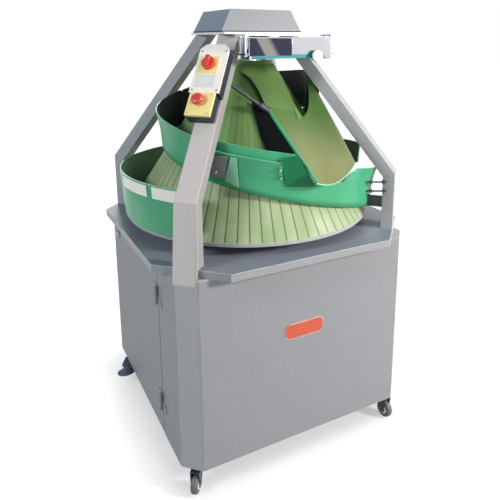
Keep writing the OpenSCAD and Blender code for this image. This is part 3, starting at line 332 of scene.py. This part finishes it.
FINISHES = {
    "hammer_grey": hammer_grey("panel grey", *PANEL_TONES),
    "dark_steel": coated(
        "dark paint", srgb(66, 70, 78), srgb(50, 54, 62), patch=20, rough=(0.4, 0.55), grain=400, bump=0.15,
        rubbed=(srgb(130, 133, 138), 0.5), metallic=0.2),
    "bright_steel": coated(
        "brushed steel", srgb(196, 198, 202), srgb(178, 181, 187), patch=60, stretch=0.05,
        rough=(0.22, 0.36), grain=700, bump=0.06, metallic=1.0),
    "track_green": coated(
        "track green", srgb(72, 170, 122), srgb(60, 156, 112), patch=7, rough=(0.3, 0.44), grain=260,
        bump=0.08, rubbed=(srgb(140, 204, 166), 0.7), dust=(FLOUR, 0.08), coat=0.1, shine=0.3),
    "cone_green": cone_green(),
    "chute_olive": chute_olive(),
    "white_plastic": coated(
        "white plastic", srgb(255, 250, 238), srgb(252, 246, 235), patch=14, rough=(0.35, 0.48), grain=600,
        bump=0.05, shine=0.4),
    "black_plastic": coated(
        "black plastic", srgb(38, 42, 54), srgb(28, 31, 40), patch=18, rough=(0.4, 0.55), grain=700,
        bump=0.12, rubbed=(srgb(96, 102, 116), 0.4)),
    "black_rubber": coated(
        "black rubber", srgb(30, 30, 31), srgb(22, 22, 23), patch=24, rough=(0.6, 0.75), grain=500, bump=0.2),
    "yellow_plastic": coated(
        "yellow plastic", srgb(254, 236, 164), srgb(250, 229, 142), patch=12, rough=(0.25, 0.36), grain=600,
        bump=0.05, rubbed=(srgb(252, 232, 160), 0.5), coat=0.3),
    "red_plastic": coated(
        "red plastic", srgb(214, 50, 34), srgb(196, 36, 26), patch=14, rough=(0.2, 0.3), grain=600, bump=0.04,
        rubbed=(srgb(236, 110, 90), 0.4), coat=0.4),
    "wheel_grey": coated(
        "tread grey", srgb(98, 98, 102), srgb(82, 82, 86), patch=40, rough=(0.5, 0.65), grain=600, bump=0.25,
        dust=(srgb(176, 172, 164), 0.2)),
}
# Painted shade: the worktop's upward faces take a darker blue-grey tone
WORKTOP = coated(
    "worktop grey", srgb(154, 155, 158), srgb(146, 147, 151), patch=190, rough=(0.32, 0.42), grain=520,
    bump=0.16, rubbed=(PALE_EDGE, 0.7), side=("Z", 0.7, 0.95, srgb(131, 136, 147)), shine=0.25)
# A lighter copy of the panel grey as painted light, with a darker tone on faces turned to +X as painted shade
PILLAR = hammer_grey(
    "pillar grey", srgb(212, 202, 198), srgb(205, 196, 193), ("X", 0.35, 0.65, srgb(152, 150, 148)))
# The panel grey with a bluer, darker tone on faces turned to -X: painted shade
HOOD = hammer_grey("hood grey", *PANEL_TONES, ("X", -0.3, -0.6, srgb(115, 132, 150)))
# A lighter copy of the panel grey: painted light
POST = hammer_grey("post grey", srgb(180, 179, 181), srgb(172, 172, 175))
RING = coated(
    "ring grey", srgb(176, 178, 172), srgb(164, 166, 162), patch=60, rough=(0.45, 0.58), shine=0.3)
TEAL = coated("teal paint", srgb(36, 140, 136), srgb(30, 126, 124), patch=30, rough=(0.3, 0.4), shine=0.3)
PEDAL = coated(
    "pedal blue", srgb(78, 92, 112), srgb(66, 78, 98), patch=30, rough=(0.4, 0.5), rubbed=(PALE_EDGE, 0.3))
# A paler copy of the track green: painted highlight
FLANGE_HIGHLIGHT = coated(
    "pale green", srgb(146, 200, 168), srgb(134, 190, 156), patch=12, rough=(0.34, 0.46), shine=0.3)
# Near black: painted shadow beside the chute
SHADOW_BLACK = coated("shadow sheet black", srgb(16, 22, 20), srgb(12, 16, 15), patch=9, rough=(0.7, 0.85), shine=0.1)
# Deep green: painted shadow on the front track's wall
SHADOW_GREEN = coated("shadow green", srgb(0, 110, 66), srgb(0, 102, 60), patch=9, rough=(0.4, 0.55), shine=0.3)
INNER = coated(
    "inner green", srgb(138, 166, 148), srgb(124, 152, 134), patch=7, rough=(0.5, 0.62), shine=0.2)
# Near-black green for the insides of the tracks: painted shade
SHADE_LINING = coated("shade lining", srgb(30, 44, 38), srgb(22, 30, 28), patch=9, rough=(0.5, 0.65))
MIRROR = coated(
    "mirror steel", srgb(214, 216, 220), srgb(196, 199, 206), patch=8, stretch=0.3, rough=(0.06, 0.14),
    grain=500, bump=0.02, metallic=1.0)
ZINC = coated(
    "zinc", srgb(190, 192, 194), srgb(160, 163, 168), patch=90, rough=(0.25, 0.4), grain=900, metallic=1.0)
WINDOW = window_blue()
BADGE = coated(
    "badge red", srgb(196, 76, 44), srgb(188, 66, 38), patch=20, rough=(0.3, 0.4), grain=500, bump=0.05,
    rubbed=(srgb(226, 160, 130), 0.6), coat=0.2)
LABEL = coated(
    "label grey", srgb(234, 234, 226), srgb(226, 227, 221), patch=60, rough=(0.4, 0.5), grain=600, bump=0.02)


# Making pieces

def add_object(name, data):
    thing = bpy.data.objects.new(name, data)
    bpy.context.scene.collection.objects.link(thing)
    return thing


def new_piece(name, bm, material, body):
    """Turns a bmesh into a smooth shaded piece that rides on a body."""
    mesh = bpy.data.meshes.new(name)
    bm.to_mesh(mesh)
    bm.free()
    mesh.shade_smooth()
    mesh.set_sharp_from_angle(angle=SHARP)
    mesh.materials.append(material)
    piece = add_object(name, mesh)
    even = piece.modifiers.new("even shading", "WEIGHTED_NORMAL")
    even.keep_sharp = True
    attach(piece, body)
    return piece


def mark(faces, layer):
    """Writes 1 on every corner of these faces."""
    for face in faces:
        for corner in face.loops:
            corner[layer] = 1.0


def sharp_edges(bm):
    return [e for e in bm.edges if len(e.link_faces) == 2 and e.calc_face_angle(0) > SHARP]


def bevel(bm, edges, width, segments):
    """Rounds these edges and gives the faces of the rounds."""
    rounds = bmesh.ops.bevel(bm, geom=edges, offset=width, offset_type="OFFSET", segments=segments,
                             profile=0.5, affect="EDGES", clamp_overlap=True, material=-1)
    return rounds["faces"]


def round_edges(bm, width, segments=2):
    """Rounds the sharp edges and marks the rounds as rubbed."""
    layer = bm.loops.layers.float.new("rub")
    mark(bevel(bm, sharp_edges(bm), width, segments), layer)


def node_bmesh(node):
    """A welded copy of a CAD node's mesh, with its flat faces whole."""
    bm = bmesh.new()
    bm.from_mesh(frame["nodes"][node].data)
    bmesh.ops.remove_doubles(bm, verts=bm.verts, dist=WELD)
    bmesh.ops.dissolve_limit(bm, angle_limit=FLAT, verts=bm.verts, edges=bm.edges)
    return bm


def node_points(node):
    return [vert.co for vert in frame["nodes"][node].data.vertices]


def dress(node, width, material=None, segments=2):
    """A copy of a CAD node with rounded edges, shown in the node's place."""
    bm = node_bmesh(node)
    round_edges(bm, width, segments)
    slot = SLOT_OF[node]
    piece = new_piece(node + "_skin", bm, material or FINISHES[slot], BODY_OF[node])
    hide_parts(node)


for node, part in frame["nodes"].items():
    part.data.materials.clear()
    part.data.materials.append(FINISHES[SLOT_OF[node]])

# Rounded edges on what shows: the nodes by the width of their rounds
ROUNDS = {
    0.0012: ["front_panel", "right_panel", "rear_panel", "side_strip", "door_panel", "crown_plate",
             "track_brackets", "duster_hanger", "caster_plates", "switch_plate", "rim_strips",
             "control_cover"],
    0.002: ["control_box", "cable_gland", "door_lock", "cone_top_disc", "chute_strut"],
    0.0014: ["collar_track", "front_track", "upper_track", "rear_track", "track_liner"],
    0.003: ["selector_knob", "estop_button"],
    0.001: ["fork_near", "fork_right", "fork_rear", "fork_left"],
    0.004: ["estop_box", "estop_cover"],
}
for width, nodes in ROUNDS.items():
    for node in nodes:
        dress(node, width)
# The near pillar's paint and the posts' paint are lighter copies of the panel grey: painted light
for corner, paint in {"near": PILLAR, "right": POST, "rear": None, "left": POST}.items():
    dress("pillar_" + corner, 0.003, paint)
dress("corner_posts", 0.002, POST)
dress("worktop", 0.0012, WORKTOP)
dress("cone_base_ring", 0.0012, RING)
dress("hood", 0.002, HOOD)
dress("duster_box", 0.0008, MIRROR)
dress("duster_shutter", 0.003, TEAL)
dress("chute", 0.0014, FINISHES["track_green"])


def dress_cone():
    """The fluted cone, with the sides of its grooves marked for painted shade."""
    groove_lean = 0.25
    bm = node_bmesh("cone_shell")
    layer = bm.loops.layers.float.new("groove")
    for face in bm.faces:
        middle = face.calc_center_median()
        around = Vector((-middle.y, middle.x, 0)).normalized()
        if abs(face.normal.dot(around)) > groove_lean:
            mark([face], layer)
    piece = new_piece("fluted_cone", bm, FINISHES["cone_green"], "cone")
    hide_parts("cone_shell")


dress_cone()


# Linings inside the tracks, the dark ones painted shade, and inside the chute

# A face counts as turned to something from this share of its normal, and as a floor from this upward share
TURNED = 0.05
FLOOR_LIKE = 0.2
# The collar's dark lining of painted shade lies to the right of this X, and its green one to the left
COLLAR_SPLIT = 0.2
TROUGH_OPENS = Vector((-0.26, -0.61, 0.75))


def looks_at_cone(face):
    middle = face.calc_center_median()
    inward = Vector((-middle.x, -middle.y, 0)).normalized()
    return face.normal.dot(inward) > TURNED or face.normal.z > FLOOR_LIKE


def looks_left_at_cone(face):
    return looks_at_cone(face) and face.calc_center_median().x > COLLAR_SPLIT


def looks_right_at_cone(face):
    return looks_at_cone(face) and face.calc_center_median().x <= COLLAR_SPLIT


def looks_out_of_trough(face):
    return face.normal.dot(TROUGH_OPENS) > TURNED


def lining(name, node, faces_in, material):
    """A thin sheet over those faces of a CAD node that look inwards, without its narrow edges."""
    lift = 0.0004
    thickness = 0.0006
    narrow = 0.006
    bm = node_bmesh(node)
    spare = [f for f in bm.faces if not faces_in(f) or min(e.calc_length() for e in f.edges) < narrow]
    bmesh.ops.delete(bm, geom=spare, context="FACES")
    bm.normal_update()
    for vert in bm.verts:
        vert.co += vert.normal * lift
    bmesh.ops.solidify(bm, geom=bm.faces, thickness=-thickness)
    new_piece(name, bm, material, BODY_OF[node])


# The dark linings inside the upper, rear and collar tracks are painted shade
lining("upper_shade_lining", "upper_track", looks_at_cone, SHADE_LINING)
lining("rear_shade_lining", "rear_track", looks_at_cone, SHADE_LINING)
lining("collar_shade_lining", "collar_track", looks_left_at_cone, SHADE_LINING)
lining("collar_inside", "collar_track", looks_right_at_cone, INNER)
lining("chute_lining", "chute", looks_out_of_trough, FINISHES["chute_olive"])


# Small pieces that sit on a surface

SURFACES = {}


def surface_of(node):
    """A search tree of a CAD node's faces."""
    if node not in SURFACES:
        faces = [face.vertices for face in frame["nodes"][node].data.polygons]
        SURFACES[node] = BVHTree.FromPolygons(node_points(node), faces)
    return SURFACES[node]


def sight(pixel):
    """The direction from the camera to a pixel of the photograph."""
    across = (pixel[0] - CENTRE_PX[0]) / FOCAL_PX
    down = (pixel[1] - CENTRE_PX[1]) / FOCAL_PX
    return (CAMERA_AXES @ Vector((across, -down, -1))).normalized()


def seen_at(node, pixel):
    """The point of a CAD node that the camera sees at a pixel of the photograph, and its normal."""
    point, normal, _, _ = surface_of(node).ray_cast(CAMERA_PLACE, sight(pixel))
    if point is None:
        raise ValueError(f"{node} isn't seen at {pixel}")
    return point, normal


def between(start, stop, share):
    return Vector(start).lerp(Vector(stop), share)


def shares(steps):
    """Even shares from 0 to 1."""
    return [step / steps for step in range(steps + 1)]


def thicken(bm, thickness):
    """Makes a closed plate of an open sheet."""
    bmesh.ops.recalc_face_normals(bm, faces=bm.faces)
    bmesh.ops.solidify(bm, geom=bm.faces, thickness=thickness)
    bmesh.ops.recalc_face_normals(bm, faces=bm.faces)


def patch(name, node, corners, material, slot):
    """A plate on a CAD node between four pixels: lower left, lower right, upper left, upper right."""
    thickness = 0.003
    bm = bmesh.new()
    bmesh.ops.create_grid(bm, x_segments=3, y_segments=6, size=1)
    low_left, low_right, high_left, high_right = corners
    for vert in bm.verts:
        across = (vert.co.x + 1) / 2
        up = (vert.co.y + 1) / 2
        pixel = between(low_left, low_right, across).lerp(between(high_left, high_right, across), up)
        point, normal = seen_at(node, pixel)
        vert.co = point + normal * thickness
    bm.normal_update()
    thicken(bm, thickness)
    round_edges(bm, thickness / 4)
    new_piece(name, bm, material, BODY_OF[node])


def sheet(name, rows, material, thickness=0.0012):
    """A thin sheet of the frame through rows of points."""
    bm = bmesh.new()
    grid = [[bm.verts.new(point) for point in row] for row in rows]
    for under, over in zip(grid, grid[1:]):
        for i in range(len(under) - 1):
            bm.faces.new((under[i], under[i + 1], over[i + 1], over[i]))
    thicken(bm, thickness)
    new_piece(name, bm, material, "frame")


def stub(bm, point, axis, low_radius, high_radius, height, segments):
    """A tapered cylinder or prism that stands on a point, along an axis."""
    turn = axis.to_track_quat("Z", "Y").to_matrix().to_4x4()
    bmesh.ops.create_cone(bm, cap_ends=True, segments=segments, radius1=low_radius, radius2=high_radius,
                          depth=height, matrix=Matrix.Translation(point + axis * height / 2) @ turn)


def disc(bm, point, axis, radius, height, segments=40):
    stub(bm, point, axis, radius, radius, height, segments)


def rod(bm, start, stop, radius):
    run = stop - start
    disc(bm, start, run.normalized(), radius, run.length, segments=16)


def bolts(name, places, radius, height):
    """Hexagon heads on round washers, at points with normals, as one piece of the frame."""
    washer = height / 4
    washer_foot = 1.55 * radius
    washer_top = 1.45 * radius
    head_top = 0.92 * radius
    bm = bmesh.new()
    for point, normal in places:
        stub(bm, point, normal, washer_foot, washer_top, washer, segments=20)
        stub(bm, point + normal * washer, normal, radius, head_top, height - washer, segments=6)
    round_edges(bm, radius / 12, 1)
    new_piece(name, bm, ZINC, "frame")


def block(bm, low, high):
    """A block between two corners."""
    size = Vector(high) - Vector(low)
    middle = (Vector(high) + Vector(low)) / 2
    scale = Matrix.Diagonal((size.x, size.y, size.z, 1))
    bmesh.ops.create_cube(bm, size=1, matrix=Matrix.Translation(middle) @ scale)


def round_plate(bm, low, high, radius):
    """A plate along X and Z with round corners."""
    block(bm, low, high)
    along_y = 0.9
    short = [e for e in bm.edges if abs((e.verts[0].co - e.verts[1].co).normalized().y) > along_y]
    bevel(bm, short, radius, segments=8)


def front_wall_fittings():
    """The end flange, the bracket plate beside it and the joint strip on the front track's wall."""
    wall = "front_track"
    patch("end_flange", wall, [(225, 180), (239, 187), (231, 156.5), (237, 157.5)], FLANGE_HIGHLIGHT, "track_green")
    patch("bracket_plate", wall, [(212, 176), (225, 178), (213, 155), (228, 156)],
          FINISHES["hammer_grey"], "hammer_grey")
    patch("joint_strip", wall, [(279, 180), (283, 180.5), (278.5, 166), (282.5, 166.5)],
          FINISHES["track_green"], "track_green")
    places = [seen_at(wall, pixel) for pixel in ((216.5, 163), (217, 172))]
    bolts("bracket_bolts", places, radius=0.005, height=0.009)
    places = [seen_at(wall, pixel) for pixel in ((280.5, 169), (281, 177))]
    bolts("joint_bolts", places, radius=0.004, height=0.009)


front_wall_fittings()


def badge():
    """A bare plate with round ends on the front panel, in a narrow bright frame."""
    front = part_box("front_panel")[0].y
    left, right, low, high = -0.0855, 0.0595, 0.4525, 0.5075
    radius = 0.02
    inset = 0.003
    frame_front = front - 0.002
    face_front = front - 0.0045
    face_back = front - 0.001
    bm = bmesh.new()
    round_plate(bm, (left, frame_front, low), (right, front, high), radius)
    round_edges(bm, 0.0005)
    new_piece("badge_frame", bm, ZINC, "frame")
    bm = bmesh.new()
    round_plate(bm, (left + inset, face_front, low + inset), (right - inset, face_back, high - inset),
                radius - inset)
    round_edges(bm, 0.0015, 3)
    new_piece("badge_face", bm, BADGE, "frame")


badge()


def hopper_pane():
    """A dark glossy pane with a painted reflection on the left half of the duster's front."""
    low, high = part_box("duster_box")
    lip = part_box("duster_shutter")[1].z
    left = low.x + 0.014
    right = left + 0.148
    foot = lip - 0.016
    head = high.z - 0.003
    front = low.y - 0.0022
    bm = bmesh.new()
    block(bm, (left, front, foot), (right, low.y, head))
    face = min(bm.faces, key=lambda f: f.calc_center_median().y)
    bmesh.ops.inset_region(bm, faces=[face], thickness=0.003, depth=0.0006)
    round_edges(bm, 0.0005)
    new_piece("hopper_pane", bm, WINDOW, "frame")


hopper_pane()


def shutter_knob():
    """A white cap over the shutter's knob, with a grey centre."""
    points = node_points("duster_shutter")
    front = min(point.y for point in points)
    same_face = 0.0004
    face = [point for point in points if point.y < front + same_face]
    centre = sum(face, Vector()) / len(face)
    centre.y = front
    radius = max((point - centre).length for point in face)
    out = Vector((0, -1, 0))
    overlap = 0.006
    proud = 0.0012
    wall = 0.0006
    bm = bmesh.new()
    disc(bm, centre - out * overlap, out, radius + wall, overlap + proud)
    round_edges(bm, 0.0015)
    new_piece("knob_cap", bm, FINISHES["white_plastic"], "shutter")
    bm = bmesh.new()
    disc(bm, centre + out * proud, out, radius * 0.42, proud)
    round_edges(bm, 0.0004)
    new_piece("knob_centre", bm, ZINC, "shutter")


shutter_knob()


# Details on the controls: places as millimetres across the pillar, up along it and out of its face

OUTWARD = Vector(JOINTS["selector_turn"]["axis"]).normalized()
ACROSS = Vector((1, -1, 0)).normalized()
ALONG = OUTWARD.cross(ACROSS)
SELECTOR_AT = (-18, 431, 42)
COVER_OUT = 40
STOP_AT = (-12, 288, 46)


def on_controls(across, along, out):
    start = Vector(JOINTS["selector_turn"]["pos_m"])
    shift = Vector((across, along, out)) - Vector(SELECTOR_AT)
    return start + (ACROSS * shift.x + ALONG * shift.y + OUTWARD * shift.z) / 1000


def label_plate():
    """A bare plate with cut corners under the selector."""
    left, right, low, high = -50, 14, 349, 394
    cut = 2
    thickness = 0.0006
    ring = [(left + cut, low), (right - cut, low), (right, low + cut), (right, high - cut),
            (right - cut, high), (left + cut, high), (left, high - cut), (left, low + cut)]
    bm = bmesh.new()
    bottom = bm.faces.new([bm.verts.new(on_controls(x, y, COVER_OUT)) for x, y in ring])
    rise = bmesh.ops.extrude_face_region(bm, geom=[bottom])
    verts = [v for v in rise["geom"] if isinstance(v, bmesh.types.BMVert)]
    bmesh.ops.translate(bm, verts=verts, vec=OUTWARD * thickness)
    bmesh.ops.recalc_face_normals(bm, faces=bm.faces)
    round_edges(bm, thickness / 4)
    new_piece("label_plate", bm, LABEL, "frame")


def control_screws():
    """Screws in the corners of both covers."""
    places = [(on_controls(x, y, COVER_OUT), OUTWARD) for x in (-52, 28) for y in (339, 482)]
    bolts("cover_screws", places, radius=0.003, height=0.0022)
    x, y, out = STOP_AT
    sides = (-32, 32)
    places = [(on_controls(x + across, y + along, out), OUTWARD) for across in sides for along in sides]
    bolts("stop_screws", places, radius=0.0018, height=0.0016)


label_plate()
control_screws()


def dress_wheel(corner):
    """A rounded tyre with a pale hub disc on each side."""
    node = "wheel_" + corner
    dress(node, 0.004, segments=3)
    joint = JOINTS["roll_" + corner]
    axis = Vector(joint["axis"]).normalized()
    centre = Vector(joint["pos_m"])
    half = max((point - centre).dot(axis) for point in node_points(node))
    bm = bmesh.new()
    for side in (axis, -axis):
        disc(bm, centre + side * half, side, radius=0.018, height=0.0007)
    round_edges(bm, 0.0002, 1)
    new_piece(node + "_hub", bm, LABEL, BODY_OF[node])


for corner in ("near", "right", "rear", "left"):
    dress_wheel(corner)


def dress_pedal():
    """The brake pedal with round corners, and a foot pad on its outer end."""
    pivot = Vector(JOINTS["pedal_press"]["pos_m"])
    plate_edge = 0.006
    pivot_reach = 0.06
    bm = node_bmesh("brake_pedal")
    corners = [e for e in sharp_edges(bm)
               if e.calc_length() < plate_edge and (e.verts[0].co - pivot).length > pivot_reach]
    bevel(bm, corners, 0.02, segments=6)
    round_edges(bm, 0.001)
    piece = new_piece("brake_pedal_skin", bm, PEDAL, BODY_OF["brake_pedal"])
    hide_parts("brake_pedal")
    heel = Vector((-0.398, 0.248, 0.057))
    toe = Vector((-0.471, 0.252, 0.054))
    half_width = 0.027
    half_height = 0.01
    turn = (toe - heel).to_track_quat("X", "Z").to_matrix().to_4x4()
    size = Matrix.Diagonal(((toe - heel).length / 2, half_width, half_height, 1))
    bm = bmesh.new()
    bmesh.ops.create_uvsphere(bm, u_segments=32, v_segments=16, radius=1,
                              matrix=Matrix.Translation(heel.lerp(toe, 0.5)) @ turn @ size)
    new_piece("pedal_pad", bm, PEDAL, BODY_OF["brake_pedal"])


dress_pedal()


def hood_seal():
    """A dark seal round the foot of the hood."""
    low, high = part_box("hood")
    top = low.z + 0.004
    proud = 0.0006
    back = 0.004
    bm = bmesh.new()
    for y0, y1 in ((low.y - proud, low.y + back), (high.y - back, high.y + proud)):
        block(bm, (low.x - proud, y0, low.z), (high.x + proud, y1, top))
    for x0, x1 in ((low.x - proud, low.x + back), (high.x - back, high.x + proud)):
        block(bm, (x0, low.y + back, low.z), (x1, high.y - back, top))
    round_edges(bm, 0.0004)
    new_piece("hood_seal", bm, FINISHES["black_rubber"], "frame")


hood_seal()


# Sheets, hems and studs round the tracks and the chute

def turned(point, degrees):
    """A point turned round the cone's axis."""
    return Matrix.Rotation(radians(degrees), 3, "Z") @ point


def wall_point(node, degrees, height):
    """A point just off a track's inner face, at an angle round the cone's axis and a height."""
    off_wall = 0.0014
    out = Vector((cos(radians(degrees)), sin(radians(degrees)), 0))
    return surface_of(node).ray_cast(Vector((0, 0, height)), out)[0] - out * off_wall


def seam_cover():
    """A strip in the dark lining's painted shade inside the gap between the rear and the upper track's walls.
    """
    low, high = 1.062, 1.19
    columns = [("rear_track", 126, 0), ("rear_track", 126, 1.8), ("upper_track", 130.4, -0.2),
               ("upper_track", 130.4, 0)]
    rows = []
    for share in shares(10):
        height = low + (high - low) * share
        rows.append([turned(wall_point(node, angle, height), shift) for node, angle, shift in columns])
    sheet("seam_cover", rows, SHADE_LINING, 0.0008)


seam_cover()


def end_flap():
    """A flap in the dark lining's painted shade that carries the rear wall's end on behind the chute."""
    angle = 330
    last_turn = 12
    flare = 0.25
    high = wall_point("rear_track", angle, 1.25)
    low = wall_point("rear_track", angle, 1.15)
    rows = []
    for share in (0, 0.5, 1, 1.5, 2, 2.5):
        point = high.lerp(low, share)
        out = Vector((point.x, point.y, 0)) * flare
        rows.append([turned(point + out * max(turn, 0) / last_turn, -turn)
                     for turn in (-10, -5, 0, 4, 8, last_turn)])
    sheet("end_flap", rows, SHADE_LINING)


end_flap()


def feed_tongue():
    """The foot of the feed sheet, down to the trough's bed."""
    lift = 0.0012
    rows = []
    for share in shares(8):
        high, normal = seen_at("chute", between((268.5, 107), (293, 111), share))
        low, bed = seen_at("chute", between((275, 119.5), (297.5, 122.5), share))
        middle = high.lerp(low, 0.5) + (normal + bed) / 2 * lift
        rows.append([high + normal * lift, middle, low + bed * lift])
    sheet("feed_tongue", rows, FINISHES["chute_olive"])


feed_tongue()

# The chute's near rim
RIM_TOP = Vector((-0.0251, -0.1961, 1.165))
RIM_FOOT = Vector((0.0072, -0.4569, 0.963))


def chute_hem():
    """The rolled hem along the chute's near rim."""
    bm = bmesh.new()
    start = RIM_TOP.lerp(RIM_FOOT, 0.01)
    stop = RIM_TOP.lerp(RIM_FOOT, 0.985)
    rod(bm, start, stop, radius=0.006)
    round_edges(bm, 0.001)
    new_piece("chute_hem", bm, FINISHES["track_green"], "frame")


chute_hem()


def chute_shadow_sheet():
    """A near-black sheet of painted shadow from the chute's near rim to just above the cone."""
    off_cone = 0.01
    rim_start = 0.02
    rim_reach = 0.62
    rows = []
    for share in shares(8):
        rim = RIM_TOP.lerp(RIM_FOOT, rim_start + rim_reach * share)
        point = seen_at("cone_shell", between((251, 101), (265, 150), share))[0]
        edge = point + Vector((point.x, point.y, 0)).normalized() * off_cone
        rows.append([rim, rim.lerp(edge, 0.5), edge])
    sheet("chute_shadow_sheet", rows, SHADOW_BLACK)


chute_shadow_sheet()


def chute_shadow_plate():
    """A deep green plate of painted shadow on the front track's wall, up to the chute's near rim."""
    off_wall = 0.004
    point, normal = seen_at("front_track", (292, 180))
    depth = (point + normal * off_wall - CAMERA_PLACE).dot(normal)
    rows = []
    for share in shares(4):
        left = between((282, 158.5), (285, 187), share)
        right = between((298, 156), (316, 187), share)
        rays = [sight(left.lerp(right, across)) for across in shares(2)]
        rows.append([CAMERA_PLACE + ray * (depth / ray.dot(normal)) for ray in rays])
    sheet("chute_shadow_plate", rows, SHADOW_GREEN)


chute_shadow_plate()


def pillar_foot():
    """A tapered foot that carries the near pillar's outer face down over the top of the post."""
    out = Vector((-1, -1, 0)).normalized()
    pillar = node_points("pillar_near")
    face = max(point.dot(out) for point in pillar)
    bend = max(point.z for point in pillar if point.dot(out) > face - WELD)
    low = min(point.z for point in pillar)
    half = max(point.dot(ACROSS) for point in pillar)
    post = max(point.dot(out) for point in node_points("corner_posts"))
    drop = 0.016
    lip = 0.002
    gap = 0.0004
    profile = [(face, bend - lip), (post + lip, low - drop), (post + gap, low - drop),
               (post + gap, low + gap), (face, low + gap)]
    bm = bmesh.new()
    ends = [[bm.verts.new(out * far + ACROSS * side + Vector((0, 0, high))) for far, high in profile]
            for side in (-half, half)]
    bm.faces.new(ends[0])
    bm.faces.new(reversed(ends[1]))
    for i in range(len(profile)):
        bm.faces.new((ends[0][i - 1], ends[0][i], ends[1][i], ends[1][i - 1]))
    bmesh.ops.recalc_face_normals(bm, faces=bm.faces)
    new_piece("pillar_foot", bm, PILLAR, "frame")


pillar_foot()


def end_studs():
    """Two studs with nuts from the front wall's right end to the right pillar."""
    sunk = 0.004
    nut_share = 0.12
    bm = bmesh.new()
    for down in (182, 191):
        start = seen_at("front_track", (366, down))[0]
        stop = seen_at("pillar_right", (386.5, down))[0]
        rod(bm, start - (stop - start).normalized() * sunk, stop, radius=0.003)
        for share in (0.18, 0.8):
            rod(bm, start.lerp(stop, share), start.lerp(stop, share + nut_share), radius=0.0065)
    round_edges(bm, 0.0004, 1)
    new_piece("end_studs", bm, FINISHES["dark_steel"], "frame")


end_studs()


# Floor, light and camera

# The floor: half the width and depth that lie in full painted shadow, how far the painted shadow runs out,
# and half its size
SHADED_HALF = (0.345, 0.355, 0)
SHADE_RUN = 0.24
FLOOR_HALF = 30
ORIGIN = (0, 0, 0)
# What the lamps point at
MIDDLE = (0, 0, 0.9)


def seen_rays(tree):
    """1 for rays that the camera or a mirror sends, 0 for the light that falls on things."""
    path = tree.nodes.new("ShaderNodeLightPath").outputs
    return add_math(tree, "MAXIMUM", path["Is Camera Ray"], path["Is Glossy Ray"])["Value"]


def make_floor(near, far):
    """A pale floor that glows where it is seen, less so under the cabinet as a painted shadow, and runs into
    the background.
    """
    bm = bmesh.new()
    bmesh.ops.create_grid(bm, x_segments=1, y_segments=1, size=FLOOR_HALF)
    mesh = bpy.data.meshes.new("floor")
    bm.to_mesh(mesh)
    bm.free()
    floor = add_object("floor", mesh)
    material, tree, shader = new_material("pale floor")
    place = object_place(tree)
    for operation, other in {"ABSOLUTE": ORIGIN, "SUBTRACT": SHADED_HALF, "MAXIMUM": ORIGIN}.items():
        place = add_math(tree, operation, place, other, kind=VECTORS)["Vector"]
    reach = add_math(tree, "LENGTH", place, kind=VECTORS)["Value"]
    # Painted shadow: the glow drops towards the cabinet's footprint
    glow = add_range(tree, reach, 0.0, SHADE_RUN, near, far)
    feed(tree, shader, {
        "Base Color": (0.4, 0.4, 0.4, 1), "Roughness": 0.8, "Emission Color": WHITE,
        "Emission Strength": add_product(tree, seen_rays(tree), glow)})
    mesh.materials.append(material)


def make_world(strength):
    """A faint blue light from all round, in front of a background that is seen as white."""
    world = bpy.data.worlds.new("studio")
    bpy.context.scene.world = world
    world.use_nodes = True
    tree = world.node_tree
    light = tree.nodes["Background"]
    feed(tree, light, {"Color": (0.78, 0.88, 1.0, 1), "Strength": strength})
    white = tree.nodes.new("ShaderNodeBackground")
    feed(tree, white, {"Color": WHITE})
    pick = tree.nodes.new("ShaderNodeMixShader")
    feed(tree, pick, {"Fac": seen_rays(tree), 1: light.outputs["Background"], 2: white.outputs["Background"]})
    feed(tree, tree.nodes["World Output"], {"Surface": pick.outputs["Shader"]})


def add_lamp(name, place, target, size, watts, colour=(1, 1, 1)):
    lamp = bpy.data.lights.new(name, "AREA")
    lamp.size = size
    lamp.energy = watts
    lamp.color = colour
    holder = add_object(name, lamp)
    holder.location = place
    holder.rotation_euler = (Vector(target) - Vector(place)).to_track_quat("-Z", "Y").to_euler()


def make_camera():
    data = bpy.data.cameras.new("photograph")
    data.sensor_width = SENSOR_MM
    data.lens = FOCAL_PX * SENSOR_MM / IMAGE_PX
    data.shift_x = (IMAGE_PX / 2 - CENTRE_PX[0]) / IMAGE_PX
    data.shift_y = (CENTRE_PX[1] - IMAGE_PX / 2) / IMAGE_PX
    holder = add_object("photograph", data)
    holder.matrix_world = Matrix.Translation(CAMERA_PLACE) @ CAMERA_AXES.to_4x4()
    bpy.context.scene.camera = holder


make_floor(0.42, 0.92)
make_world(0.08)
add_lamp("key", (2.4, -2.8, 2.0), MIDDLE, 0.5, 152, (1.0, 0.97, 0.95))
add_lamp("left", (-3.4, -1.0, 2.6), MIDDLE, 0.8, 70, (0.84, 0.93, 1.0))
add_lamp("front", (0.5, -3.6, 1.3), MIDDLE, 0.7, 28, (1.0, 0.98, 0.96))
add_lamp("top", (0.9, -1.9, 4.1), MIDDLE, 0.8, 22)
add_lamp("back", (0.6, 3.4, 2.6), (0, 0, 0.7), 1.2, 40, (0.95, 0.98, 1.0))
make_camera()
bpy.context.scene.view_settings.view_transform = "Standard"
